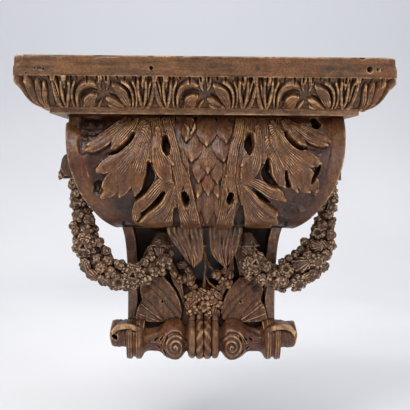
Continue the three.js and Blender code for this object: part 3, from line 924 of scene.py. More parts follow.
RIGHT_PITS = [
    [(103, 24, 2.4, 12), (106, 32, 3.1, 13), (113, 39, 3.1, 13), (121, 44, 2.6, 12), (129, 44, 1.4, 9)],
    [(79, 58, 1.7, 12), (78, 66, 3.3, 14), (76, 75, 5, 14), (82, 84, 5.2, 14), (90, 90, 2.6, 10)],
    [(102, 72, 1, 8), (103, 81, 2.1, 12), (107, 90, 1.9, 10)],
    [(32, 101, 3.1, 13), (30, 107, 3.8, 14), (30, 111, 1.9, 13)],
    [(56, 27, 2.9, 13), (55, 35, 5.7, 14), (55, 44, 5.7, 14), (55, 51, 2.1, 13)],
    [(66, 98, 1.9, 12), (71, 104, 2.6, 13), (77, 108, 1.9, 10), (83, 111, 0.7, 5)],
    [(46, 114, 1.4, 10), (45, 123, 4.3, 14), (45, 131, 5.8, 14), (45, 142, 6.8, 14)],
    [(143, 7, 4.9, 14), (145, 11, 5.6, 14)],
    [(146, 66, 2.0, 5), (143, 73, 3.4, 7), (138, 80, 2.6, 6), (135, 85, 1.2, 4)],
]
# The broad body of the leaf that the lobes and stems grow out of, the same on both halves
LEAF_BODY = [
    [
        (33, 1, 7, 4), (31, 25, 6, 5.5), (29, 50, 6, 7), (27, 75, 6, 8.5), (25, 98, 8, 10),
        (25, 114, 9, 11), (24, 128, 10, 12), (22, 146, 11, 12),
    ],
    [
        (49, 1, 8, 5), (48, 18, 7, 6.5), (46, 34, 7, 8), (43, 50, 8, 9), (40, 70, 8, 10), (38, 88, 7, 10),
        (38, 100, 4, 9.5),
    ],
    [
        (61, 1, 8, 5), (61, 16, 8, 7), (60, 32, 8.5, 8.5), (58, 46, 9, 9.5), (54, 62, 9, 11),
        (51, 78, 9, 11), (51, 92, 9, 11.5),
    ],
    [(71, 1, 8.5, 5), (71, 16, 8.5, 7), (71, 32, 8.5, 8.8), (71, 46, 8.5, 10), (73, 58, 6, 10.8)],
    [(80, 1, 9, 5), (81, 16, 9, 7), (82, 32, 9, 9), (85, 48, 9, 10.2), (90, 62, 8, 11.2), (95, 73, 6, 12)],
    [(89, 1, 8, 4.5), (89, 14, 8, 6.5), (92, 28, 7, 8.5), (98, 43, 7, 10), (106, 56, 5, 11)],
    [(97, 1, 8, 4.2), (102, 11, 7, 6), (110, 22, 5, 8), (119, 33, 4, 9.5)],
    [(46, 90, 7, 11), (51, 106, 8, 11.8), (58, 119, 10, 12.4), (66, 131, 13, 13), (68, 146, 14, 12.5)],
]
# The overlapping scales down the middle: across, drop of the tip, half width, length
SCALES = [
    (2, 150, 6, 16),
    (-9, 147, 6, 22),
    (12, 147, 6, 22),
    (-11, 135, 5.5, 36),
    (15, 135, 5.5, 36),
    (2, 137, 9.5, 40),
    (-10, 105, 5.5, 20),
    (14, 105, 5.5, 20),
    (2.5, 102, 9, 32),
    (-9, 87, 9.5, 32),
    (13, 88, 9.5, 32),
    (1.5, 76, 12.5, 40),
    (-17.5, 62, 12.5, 34),
    (20.5, 62, 13, 36),
    (-24, 38, 9, 30),
    (23, 40, 11, 36),
    (0, 43, 15, 46),
]
# Two small curls of leaf beside the top of the scales
CURLS = [
    [(-28, 14, 1.5, 9), (-24, 20, 3.0, 11), (-24, 29, 2.8, 11), (-28, 35, 1.2, 9)],
    [(-15, 13, 1.3, 9), (-16, 21, 2.6, 11), (-20, 28, 1.8, 11)],
]
# Dents in the bulge's ground: across, drop, half width, half height, depth
DENTS = [
    (-150, 16, 26, 14, 5),
    (-160, 38, 8, 16, 4),
    (-138, 80, 13, 13, 3),
    (132, 22, 24, 12, 3),
    (128, 108, 16, 12, 4),
    (112, 124, 12, 10, 4),
    (-105, 112, 26, 10, 2.5),
    (-118, 56, 18, 7, 3),
    (132, 50, 18, 7, 3),
]
# The streaked ground at the upper left, and the lump beside the left leaf
STREAKED = [(-170, 3), (-112, 3), (-124, 20), (-146, 34), (-152, 50), (-162, 42)]
LUMP = (-139, 95)
# Patches of painted shade on the bulge's ground: across, drop, half width, half height,
# darkness
SHADE_PATCHES = [
    (-138, 92, 17, 20, 0.6), (-98, 120, 36, 18, 0.7), (-106, 143, 17, 12, 0.7), (-146, 62, 12, 18, 0.45),
    (142, 86, 17, 26, 0.6), (120, 118, 28, 20, 0.6), (106, 143, 17, 12, 0.7), (150, 40, 10, 22, 0.45),
]


def ground_relief(relief, x, drop, inner):
    """The bulge's ground: its raised rim, dents, streaks and patches of painted shade."""
    relief.height += 0.5 * mottles(x, drop, 26, 3) + 0.22 * mottles(x, drop, 7, 9)
    rim = smooth01((21.0 - inner) / 6.0)
    relief.height += (
        4.5
        * smooth01((inner - 15) / 8)
        * smooth01((drop - 2) / 10)
        * (1 - 0.8 * smooth01((drop - 118) / 22))
    )
    rim *= 1 - 0.75 * smooth01((drop - 96) / 34)
    relief.leaf = rim * smooth01(0.85 + 0.5 * mottles(x, drop, 18, 5))
    rubbed = smooth01((drop - 98) / 24)
    rubbed = 0.3 * rubbed * smooth01((44 - inner) / 12) * smooth01(0.7 + 0.6 * mottles(x, drop, 22, 6))
    relief.leaf = np.maximum(relief.leaf, rubbed)
    relief.height += 3.0 * rim + 1.2 * smooth01((8 - inner) / 8) * smooth01((drop - 90) / 40)
    for middle, drop_at, across, down, depth in DENTS:
        far = np.hypot((x - middle) / across, (drop - drop_at) / down)
        rough = 1 + 0.35 * mottles(x, drop, 6, int(abs(middle)))
        relief.height -= depth * rough * smooth01((1.15 - far) / 0.5)
    streaked = smooth01(inside_of(STREAKED, x, drop) / 6 + 0.5)
    relief.height += streaked * 0.45 * mottles((x + 0.5 * drop) / 1.1, drop / 4, 3.2, 33)
    relief.leaf -= 0.6 * streaked
    # Patches of painted shade, which take the leaf mark below 0
    for middle, drop_at, across, down, painted_shade in SHADE_PATCHES:
        far = np.hypot((x - middle) / across, (drop - drop_at) / down) + 0.25 * mottles(x, drop, 9, 37)
        relief.leaf -= painted_shade * smooth01((1.2 - far) / 0.7)


def leaf_relief(relief, settings):
    """The two halves of the acanthus leaf, with the pits pierced between their lobes."""
    vein = settings.vein_depth / MM
    for side, leaf, pits in ((-1, LEFT_LEAF, LEFT_PITS), (1, RIGHT_LEAF, RIGHT_PITS)):
        for stations in LEAF_BODY:
            stations = [(side * a, d, w, (h - 1.3) * settings.leaf_rise) for a, d, w, h in stations]
            relief.lobe(stations, vein=vein * 1.15, crown=0.08, lip=0.0, pitch=2.6, tone=0.9)
        for name, stations in leaf.items():
            stem = name.startswith(("stem", "foot"))
            relief.lobe(
                placed(stations, 0, side, 1.12 if stem else 1.3, settings.leaf_rise),
                vein=vein * (1.1 if stem else 1.0),
                crown=0.10 if stem else 0.2,
                lip=0.2 if stem else 0.9,
                pitch=2.8,
                fading=0.3 if stem else 0.85,
            )
        for stations in pits:
            relief.pit(placed(stations, 0, side))


def scale_relief(relief):
    """The overlapping scales, each widest near its middle and raised to a tip."""
    for across, tip, wide, length in SCALES:
        top = max(tip - length, 0.5)
        span = tip - top
        stations = [
            (across * 0.92, top, wide * 0.7, 5.0),
            (across * 0.96, top + 0.3 * span, wide * 0.98, 6.5),
            (across, top + 0.55 * span, wide, 8.5),
            (across * 1.05, top + 0.8 * span, wide * 0.62, 10.5),
            (across * 1.1, tip, 0.8, 10.5),
        ]
        relief.lobe(stations, vein=0.22, crown=0.45, lip=0.5, pitch=3.6, wall=1.6, foot=1.0, tone=0.75)
    for stations in CURLS:
        relief.lobe(stations, vein=0.0)
    relief.pit([(-20.5, 19, 1.6, -5), (-19.5, 24, 1.2, -5)])


def bulge_relief(x, drop, settings):
    """All the carving of the bulge's front, as a height over its smooth ground."""
    relief = Relief(x, drop)
    inner = bulge_half(drop) - np.abs(x)
    ground_relief(relief, x, drop, inner)
    leaf_relief(relief, settings)
    scale_relief(relief)
    lump_x, lump_drop = LUMP
    angle = np.arctan2(drop - lump_drop, x - lump_x)
    uneven = 1 + 0.12 * np.cos(3 * angle + lump_x) + 0.08 * np.cos(5 * angle)
    far = np.hypot((x - lump_x) / 5.5, (drop - lump_drop) / 6.5) / uneven
    relief.height -= 4.5 * bump(far, 0.95, 0.6)
    relief.height += 2.0 * smooth01((0.5 - far) / 0.5)
    relief.leaf -= 0.5 * smooth01((1.3 - far) / 0.5)
    worn = np.maximum(mottles(x, drop, 12, 61) - 0.45, 0) * 1.6
    relief.height -= worn * smooth01(relief.leaf * 2)
    relief.height += 0.12 * mottles(x, drop, 2.2, 71)
    relief.height = relief.height * (0.35 + 0.65 * smooth01(drop / 4.0))
    under = smooth01((drop - 128) / 21)
    relief.height = np.where(relief.height > 0, relief.height * (1 - 0.85 * under), relief.height)
    # The leaves end in separate rounded tips, with shallow gaps between them that are painted dark as shade
    off = np.abs(x)
    tip = np.where(off < 46, (off - 23) / 23, (off - 76) / 30)
    tip_drop = BULGE_HEIGHT - 3 - 9 * (1 - np.sqrt(np.clip(1 - tip**2, 0, 1)))
    gap = smooth01((drop - tip_drop) / 2.0) * smooth01((112 - off) / 5)
    relief.leaf -= 1.5 * gap
    relief.height -= 2.5 * gap
    sides = smooth01(inner / 1.5)
    relief.height = relief.height * sides + 0.8 * (1 - sides)
    return relief


def bulge_sheet(settings):
    """The front of the bulge, wrapped under its lip and up the back of it."""
    fine = 0.9
    drops = np.concatenate([np.linspace(0, 140, 260), BULGE_HEIGHT - (np.linspace(1, 0, 160) ** 2) * 11])
    run = run_of(np.hypot(np.diff(drops), np.diff(bulge_front(drops))))
    drop = np.interp(np.linspace(0, run[-1], steps(run[-1], fine) + 1), run, drops)
    share = np.linspace(-1, 1, steps(2 * BULGE_HALF, fine) + 1)
    d, f = np.meshgrid(drop, share, indexing="ij")
    x = f * bulge_half(d)
    relief = bulge_relief(x, d, settings)
    depth = bulge_depth(x, d)
    near = 0.4
    held = np.clip(d, 0, BULGE_HEIGHT - 0.6)
    slope_down = (bulge_depth(x, held + near) - bulge_depth(x, held - near)) / (2 * near)
    slope_across = (bulge_depth(x + near, d) - bulge_depth(x - near, d)) / (2 * near)
    slope_across = np.clip(slope_across, -0.35, 0.35)
    slope_down = np.where(slope_down > 0, slope_down * smooth01(d / 30), slope_down)
    normal = unit_rows(np.stack([-slope_across, -np.ones_like(d), slope_down], -1))
    thick = 18.0 - 9.0 * smooth01((d - 140) / 11)
    height = np.maximum(relief.height, -(thick - 4))
    base = np.stack([x, -depth, BODY_TOP - d], -1)
    front = base + normal * height[..., None]
    back = base - normal * thick[..., None]
    front[..., 2] = np.minimum(front[..., 2], BODY_TOP)
    back[..., 2] = np.minimum(back[..., 2], BODY_TOP)
    edge = np.abs(f) >= 1
    front[..., 0] = np.where(edge, x, front[..., 0])
    back[..., 0] = np.clip(back[..., 0], -bulge_half(d) + 0.01, bulge_half(d) - 0.01)
    return slab("bulge_front", front, back, relief.leaf)


def bulge_core():
    """The solid wood behind the bulge's carved sheet."""
    drops = np.concatenate([np.linspace(0, 66, 18), np.linspace(68, 140, 30), [143, 146, 148, 149.5, 150.6]])
    rings, around = [], 34
    share = np.linspace(-1, 1, around)
    for drop in drops:
        half = bulge_half(drop) - 1.0
        x = share * half
        rear = np.full(around, float(bulge_rear(drop)))
        front = np.maximum(bulge_depth(x, drop) - 15.0, rear + 5.0)
        a = np.stack([x, -front, np.full(around, BODY_TOP - drop)], -1)
        b = np.stack([x[::-1], -rear, np.full(around, BODY_TOP - drop)], -1)
        rings.append(np.concatenate([a, b]))
    return tube("bulge_core", np.array(rings))


def bulge_lip():
    """The underside of the bulge's lip, rolled back to the cove."""
    drop = np.concatenate([np.linspace(104, 145, 24), [147, 149, 150.2, 150.9]])
    share = np.linspace(-1, 1, steps(330, 3.0))
    d, f = np.meshgrid(drop, share, indexing="ij")
    x = f * (bulge_half(d) - 0.5)
    rear = bulge_rear(d)
    wave = 0.8 * mottles(x, d, 18, 83)
    front = np.stack([x, -(rear + wave - 0.5), BODY_TOP - d], -1)
    inner = np.minimum(rear + 9 + 6 * smooth01((150 - d) / 10), bulge_depth(x, d) - 6)
    back = np.stack([x, -inner, BODY_TOP - d], -1)
    return slab("bulge_lip", front, back)


def bulge_side(side):
    """One side of the bulge, with a volute wound round the eye that carries the garland."""
    drop = np.linspace(0.5, 150.2, steps(150, 1.6))
    share = np.linspace(0, 1, steps(200, 1.6))
    d, f = np.meshgrid(drop, share, indexing="ij")
    rear = bulge_rear(d) + 0.4
    front = np.maximum(bulge_front(d) - 16.6, rear + 1.0)
    y = rear + f * (front - rear)
    z = BODY_TOP - d
    away_y, away_z = y - EYE_DEPTH, z - EYE_Z
    radius = np.hypot(away_y, away_z)
    angle = np.arctan2(away_z, away_y)
    coil = (radius - 24) / 17 - angle / (2 * math.pi)
    phase = coil - np.floor(coil)
    inside = smooth01((74 - radius) / 4) * smooth01((radius - 21) / 2)
    fillet = bump(phase, 0.5, 0.22) * 1.9
    hollow = -1.4 * bump(phase, 0.0, 0.38) - 1.4 * bump(phase, 1.0, 0.38)
    height = inside * (fillet + hollow)
    edge = np.minimum(front - y, 40)
    height += 0.9 * bump(edge, 14, 2.2) * smooth01((d - 6) / 6) * (1 - inside)
    height += 0.25 * mottles(y, z, 14, 91)
    far = np.hypot((y - 40) / 28, (z - 8) / 20)
    height *= 1 - 0.3 * smooth01(1.2 - far)
    border = smooth01(np.minimum(np.minimum(f, 1 - f) * 60, np.minimum(d - 0.5, 150.2 - d) / 2))
    height = height * border
    half = bulge_half(d) - 0.35
    front_sheet = np.stack([side * (half + height), -y, z], -1)
    back_sheet = np.stack([side * (half - 6.0), -y, z], -1)
    return slab("bulge_side", front_sheet, back_sheet, 0.25)


def lathe(name, pairs, centre, around=72, axis="x", relief=None, leaf=0.3, fine=0.9):
    """A round piece turned about an axis. Its profile is along the axis and radius, and relief is a
    function of along, angle and radius that gives a new radius."""
    line = np.array(pairs, float)
    run = run_of(np.hypot(*np.diff(line, axis=0).T))
    even = np.linspace(0, run[-1], steps(run[-1], fine) + 1)
    along = np.interp(even, run, line[:, 0])
    radius = np.maximum(np.interp(even, run, line[:, 1]), 0.05)
    turn = np.linspace(0, 2 * math.pi, max(int(around / (1)), 12), endpoint=False)
    a, t = np.meshgrid(along, turn, indexing="ij")
    r = np.repeat(radius[:, None], len(turn), 1)
    if relief is not None:
        r = relief(a, t, r)
    u, v = r * np.cos(t), r * np.sin(t)
    places = {"x": (a, -u, v), "z": (u, v, a), "y": (u, a, v)}[axis]
    rings = np.stack(places, -1) + np.array(centre)
    return tube(name, rings, leaf)


def side_eye(side):
    """The side volute's eye, a turned boss with a bead round its face."""

    def wavy(a, t, r):
        return r * (1 + 0.02 * np.sin(3 * t + side)) + 0.2 * np.sin(a * 1.3)

    pairs = [
        (150, 0), (150, 20), (172, 19), (176, 18.2), (178.6, 17.4), (180.4, 16), (EYE_REACH, 14),
        (180.2, 12.2), (178.4, 11), (178.2, 8), (179.6, 5), (180.4, 0),
    ]
    pairs = [(side * a, r) for a, r in pairs]
    return lathe("side_eye", pairs, (0, -EYE_DEPTH, EYE_Z), relief=wavy)


# The neck and foot

neck_front = profile([(NECK_FOOT, 108), (-250, 105), (-205, 102), (-150, 108), (-104, 128)])
neck_half = profile([(NECK_FOOT, 104), (-200, 104), (-135, 107), (-104, 114)])

# The broad leaf at the foot of the neck: its outline, and where its ribs stand across it
NECK_PANEL = [
    (83, -190), (88, -202), (84, -217), (92, -231), (93, -246), (60, -250), (29, -246), (27, -234),
    (30, -220), (36, -206), (44, -194), (54, -184), (68, -183),
]
NECK_RIBS = [-60, -24, -7, 1, 17, 24, 60]
# Smaller leaves over and beside it: across, height, half width, rise
NECK_LEAF = [
    [(24, -226, 2, 6), (29, -206, 4, 8), (35, -190, 6.5, 10), (41, -174, 5, 10), (44, -160, 2, 8)],
    [(76, -190, 3, 4), (78, -172, 6, 6), (76, -154, 6, 6), (70, -140, 3, 5)],
    [(58, -190, 3, 6), (58, -172, 7, 8), (54, -152, 8, 8), (48, -136, 5, 6)],
]


def neck_sheet():
    """The front of the neck: its hollow between two edge bands, the broad leaves and their slits."""
    fine = 0.95
    z_rows = np.linspace(-60, NECK_FOOT + 2, steps(220, fine))
    share = np.linspace(-1, 1, steps(214, fine))
    z, f = np.meshgrid(z_rows, share, indexing="ij")
    half = neck_half(z)
    x = f * half
    inner = half - np.abs(x)
    relief = Relief(x, z)
    low = smooth01((-188 - z) / 16)
    relief.height -= (15.0 - 8.0 * low) * smooth01((inner - 14) / 2.2) - 0.35 * mottles(x, z, 18, 101)
    edge_band = smooth01((15 - inner) / 2.0)
    void = smooth01((30 - np.abs(x)) / 6) * smooth01((z + 202) / 10)
    relief.height -= 4.5 * void
    # The hollow's upper part is painted dark as shade under the bulge's lip, and the void behind the stems in
    # the middle darker still; the edge bands take a paler tone
    relief.leaf = 2.3 * edge_band + (1 - edge_band) * (0.3 * low - np.maximum(0.75 * (1 - low), void))
    across = np.abs(x)
    for side in (-1, 1):
        for stations in NECK_LEAF:
            held = [(side * a, b, w, h - 6.0) for a, b, w, h in stations]
            relief.lobe(held, vein=0.5, crown=0.3, lip=0.8, wall=2.0, pitch=3.6, foot=-12.0, tone=0.7)
    inside = smooth01(inside_of(NECK_PANEL, across, z) / 1.8 + 0.5)
    along = (across - 30) * 0.643 + (z + 252) * 0.766
    beside = (across - 30) * 0.766 - (z + 252) * 0.643
    panel = -1 + 8 * smooth01(along / 55) - 3 * smooth01((along - 62) / 12)
    beside = beside + 4.5 * np.sin(along / 26) + 0.8 * mottle(x, z, 14, 109)
    for a, b in zip(NECK_RIBS[:-1], NECK_RIBS[1:]):
        between = np.clip((beside - a) / (b - a), 0, 1)
        panel = panel + min(0.16 * (b - a), 2.6) * np.sin(math.pi * between) ** 0.7
    panel = panel + 0.6 * mottles(x, z, 8, 103) + 0.16 * np.cos(beside * 2.1 + mottle(x, z, 12, 104))
    made = np.where(inside > 0.001, -12 + (panel + 12) * inside, -99.0)
    tone = inside * (0.75 + 0.5 * mottles(x, z, 14, 105) + 0.3 * smooth01(-x))
    relief.leaf = np.where(made > relief.height, tone, relief.leaf)
    relief.height = np.maximum(relief.height, made)
    for side in (-1, 1):
        relief.ridge([(side * 56, -245, 1.4, 0), (side * 70, -235, 1.4, 0), (side * 84, -223, 1.4, 0)], 1.6)
        relief.ridge([(side * 60, -248, 1.2, 0), (side * 91, -235, 1.2, 0)], 1.2)
        relief.pit([(side * 55, -219, 0.8, 4), (side * 55.6, -220, 0.8, 4)], wall=1.0)
        relief.groove([(side * 91, -200, 2.4, 0), (side * 89, -218, 1.8, 0), (side * 93, -240, 1, 0)], 4)
    relief.height += 0.2 * mottles(x, z, 4, 107)
    relief.height += 0.5 * mottles(x * 0, z, 22, 111) * smooth01((12 - inner) / 8)
    base = neck_front(z)
    edge = np.maximum(1 - inner / 2.0, 0) ** 2
    depth = base + relief.height - 1.2 * edge
    front = np.stack([x - NECK_SHIFT, -depth, z], -1)
    back = np.stack([x * 0.995 - NECK_SHIFT, -(base - 24), z], -1)
    return slab("neck_front", front, back, relief.leaf)


def neck_core():
    """The solid neck behind its carved sheet, with a line cut along each side."""
    z_rows = np.linspace(-20, NECK_FOOT + 1, 60)
    rings = []
    columns = 12
    share = np.linspace(-1, 1, columns)
    for z in z_rows:
        half = float(neck_half(max(z, NECK_FOOT))) - 0.6
        front = float(neck_front(z)) - 21
        a = np.stack([share * half, np.full(columns, -front), np.full(columns, z)], -1)
        side = np.linspace(front, 0, 14)[1:-1]
        line = 1.1 * bump(side, front - 26, 3) - 1.2 * bump(side, 22, 12)
        right = np.stack([half + line, -side, np.full(len(side), z)], -1)
        b = np.stack([share[::-1] * half, np.zeros(columns), np.full(columns, z)], -1)
        left = np.stack([-half - line[::-1], -side[::-1], np.full(len(side), z)], -1)
        rings.append(np.concatenate([a, right, b, left]) - [NECK_SHIFT, 0, 0])
    return tube("neck_core", np.array(rings), 0.2)


# Half of the foot roll's profile, outward from the strap: across, radius
ROLL_PROFILE = [
    (21, 24),
    (24, 17),
    (32, 26.5),
    (42, 28.5),
    (52, 25.5),
    (61, 18),
    (68, 16),
    (80, 17),
    (87, 27),
    (93, 27.5),
    (97, 24.5),
    (101, 28),
    (ROLL_HALF, 27),
]
# The spiral's middle on the bulb, and the scalloped slits round it: across, height, lean
SPIRAL = (39.5, -6.5)
SLITS = [(66, 4, 0.5), (58.5, 5, 0.45), (51.5, 4, 0.4), (62, -14, -0.5), (54, -17, -0.5)]


def roll_relief(x, t, r):
    """Arcs and scalloped slits on the bulb, and ribs round the collar."""
    across = np.abs(x)
    angle = (t + math.pi) % (2 * math.pi) - math.pi
    arc = np.sin(angle) * 25.0
    ahead = smooth01(np.cos(angle) * 2.5)
    spiral_x, spiral_z = SPIRAL
    far = np.hypot(across - spiral_x, arc - spiral_z)
    wound = np.arctan2(arc - spiral_z, across - spiral_x) / (2 * math.pi)
    rings = np.cos((far / 6.3 - wound) * 2 * math.pi)
    bulb = smooth01((21 - far) / 2.5) * ahead * smooth01(far / 3)
    height = 1.15 * np.sign(rings) * np.abs(rings) ** 0.7 * bulb * (0.8 + 0.3 * mottles(x, arc, 9, 123))
    height += 1.6 * smooth01((4.2 - far) / 2) * ahead
    height += -2.2 * bump(far, 19.0, 1.6) * ahead * smooth01((across - 30) / 4)
    for slit_x, slit_z, lean in SLITS:
        u = (across - slit_x) * math.cos(lean) + (arc - slit_z) * math.sin(lean)
        v = -(across - slit_x) * math.sin(lean) + (arc - slit_z) * math.cos(lean)
        height -= 4.2 * smooth01((1.25 - np.hypot(u / 1.5, v / 4.6)) / 0.5) * ahead
    feather = smooth01((across - 56) / 3) * smooth01((84 - across) / 3)
    height += 1.0 * feather * np.cos(angle * 7 + across * 0.22)
    height += 0.8 * feather * bump(arc, -3, 2.0)
    collar = smooth01((across - 85) / 2)
    height += 0.35 * collar * np.cos((across - 93) / 3.6 * 2 * math.pi)
    height += 0.22 * mottles(x * 3, angle * 24, 9, 121)
    return r + height


def foot_roll():
    """The roll at the neck's foot, from collar to collar."""
    line = spline(ROLL_PROFILE, 8)
    right = [tuple(p) for p in line] + [(ROLL_HALF, 22.0), (ROLL_HALF, 0)]
    left = [(-a, r) for a, r in right[::-1]]
    middle = [(-18, 24), (18, 24)]
    pairs = left + middle + right
    centre = (0, -ROLL_DEPTH, ROLL_Z)
    return lathe("foot_roll", pairs, centre, 200, relief=roll_relief, leaf=0.45, fine=0.75)


def foot_boss(side):
    """The inner coil of the foot volute, with its spiral on the end face."""

    def shape(a, t, r):
        return r + 0.2 * np.sin(5 * t + np.abs(a)) + 0.15 * np.sin(9 * t)

    pairs = [
        (85, 0), (85, BOSS_RADIUS), (112, BOSS_RADIUS), (116, 18.6), (120, 19.4), (127, 18.9), (130, 18),
        (131, 16.4), (130.2, 14.6), (128.4, 13.4), (128, 11.5), (129.2, 9.4), (129.4, 7), (128, 5.4),
        (127.6, 4), (128.6, 2), (128.8, 0),
    ]
    pairs = [(side * a, r) for a, r in pairs]
    centre = (0, -ROLL_DEPTH, ROLL_Z + BOSS_RISE)
    obj = lathe("foot_boss", pairs, centre, 110, relief=shape, leaf=0.35)
    for vertex in obj.data.vertices:
        local = (vertex.co.z / MM - ROLL_Z - BOSS_RISE) / BOSS_RADIUS
        vertex.co.x -= side * 3.0 * abs(max(min(local, 1), -1)) * MM
    return obj


def foot_flange(side):
    """The curved flange that leads from the collar's top over to the boss."""
    line = spline([(88, -252), (98, -247.5), (110, -245.5), (121, -248), (128, -256)], 8)
    across = np.linspace(-1, 1, 12)
    t, s = np.meshgrid(np.arange(len(line)), across, indexing="ij")
    x = side * line[t, 0]
    z = line[t, 1] + 1.5 * (1 - np.abs(s) ** 3) - 1.5
    y = -(ROLL_DEPTH + 6 + s * 18)
    front = np.stack([x, y, z], -1)
    back = np.stack([x * 0.985, y, z - 7], -1)
    return slab("foot_flange", front, back, -0.1)


def worn_at(name, centre, radius, reach, seed):
    """A rough rod, front to back, that is cut away where wood has broken off."""
    draw = np.random.default_rng(seed)
    a1, a2 = draw.uniform(0, 6, 2)

    def uneven(a, t, r):
        return r * (1 + 0.2 * np.sin(2 * t + a1) + 0.09 * np.sin(5 * t + a2 + a * 0.15))

    pairs = [(-reach, 0), (-reach, radius), (reach, radius * 0.9), (reach, 0)]
    return lathe(name, pairs, centre, 40, axis="y", relief=uneven)


def damage():
    """The hole and the chip in the foot's ends, and the broken edges of the bulge."""
    foot = -ROLL_DEPTH
    return [
        worn_at("hole", (-ROLL_HALF - 16.5, foot - 18, ROLL_Z + 6), 4.3, 14, 1),
        worn_at("chip", (118, foot - 4, ROLL_Z + 29), 6.5, 19, 2),
        worn_at("break", (-188, -190, 31), 7.0, 34, 3),
        worn_at("nick", (186.5, -198, -24), 4.2, 16, 4),
        worn_at("nick", (182.5, -198, -36), 3.6, 16, 5),
        worn_at("nick", (186, -196, 6), 2.6, 14, 6),
    ]


def strap_bar(x, half, rise, twist=0):
    """One rib of the strap, down the neck and round the foot roll."""
    arc = np.radians(np.linspace(100, -65, steps(78, 0.9)))
    radius = 24.0 + rise - half * 0.8
    path = [
        (x, -(ROLL_DEPTH - 6 + 6 * t - 0.4), ROLL_Z + radius + 2 + 14 * (1 - t))
        for t in np.linspace(0, 0.9, 8)
    ]
    path += [(x, -ROLL_DEPTH - math.cos(a) * radius, ROLL_Z + math.sin(a) * radius) for a in arc]
    path = np.array(path)
    way = unit_rows(np.gradient(path, axis=0))
    outward = unit_rows(np.cross(way, [1.0, 0, 0]))
    run = run_of(np.linalg.norm(np.diff(path, axis=0), axis=1))
    turn = np.linspace(0, 2 * math.pi, 28, endpoint=False)
    r, t = np.meshgrid(run, turn, indexing="ij")
    size = np.full_like(r, 1.0)
    if twist:
        size = 1 + 0.13 * np.cos(2 * t + twist * r * 2 * math.pi / 15.0)
    u, v = np.cos(t) * half * size, np.sin(t) * half * size
    rings = path[:, None] + u[..., None] * np.array([1.0, 0, 0]) + v[..., None] * outward[:, None]
    return tube("strap_bar", rings, 0.5)


# The two drooping leaf tips: across, height, half width, rise
HANGING_LEFT = [
    (28, -96, 25, 3), (27, -116, 24.5, 6), (23.5, -131, 21, 8.5), (18.5, -144, 17, 10.5),
    (15.5, -155, 12.5, 11.5), (14.5, -162, 8, 11.5), (14.5, -166.5, 2, 11),
]
HANGING_RIGHT = [
    (28, -96, 23, 3), (28, -116, 23, 6), (27, -131, 20.5, 8.5), (26, -144, 18, 10.5),
    (26.5, -155, 13, 11.5), (27.5, -162, 8, 11.5), (28, -166.5, 2, 11),
]


def hanging_leaf(side):
    """A drooping leaf tip under the middle of the bulge, with close veins."""
    path = spline(HANGING_LEFT if side < 0 else HANGING_RIGHT, 10)
    share = np.linspace(-1, 1, steps(36, 0.8))
    k, s = np.meshgrid(np.arange(len(path)), share, indexing="ij")
    width = path[k, 2]
    x = side * (path[k, 0] + s * width)
    z = path[k, 1] + 3.0 * np.abs(s) ** 2 * (k / len(path))
    along = k / (len(path) - 1)
    bend = 2.6 * mottle(x, z, 13, 133)
    vein = 0.75 * np.cos(s * math.pi * 7.0 + bend + 1.5 * np.sin(along * 3)) * (1 - 0.3 * along)
    vein = vein - 1.6 * bump(s + 0.35 - 0.5 * along, 0.0, 0.09) - 1.2 * bump(s - 0.5 + 0.2 * along, 0.0, 0.07)
    split = 2.5 * bump(s, 0.45, 0.1) * smooth01((along - 0.45) / 0.2)
    vein = vein * (0.5 + 0.6 * smooth01(0.6 + mottle(x, z * 0.4, 6, 135))) - split
    crown = path[k, 3] * (1 - 0.55 * s**2) + 1.3 * bump(np.abs(s), 0.9, 0.16)
    depth = 146 + (z + 140) * 0.12 + crown + vein - 2.5 + 0.3 * mottles(x, z, 5, 131)
    front = np.stack([x, -depth, z], -1)
    back = np.stack([x, -(146 + (z + 140) * 0.12 - 6.0 + 0.3 * crown), z], -1)
    return slab("hanging_leaf", front, back, 1.25 - 0.85 * smooth01((-112 - z) / -12))


# Small carved flowers, buds and berries, used on the garlands and in the knot


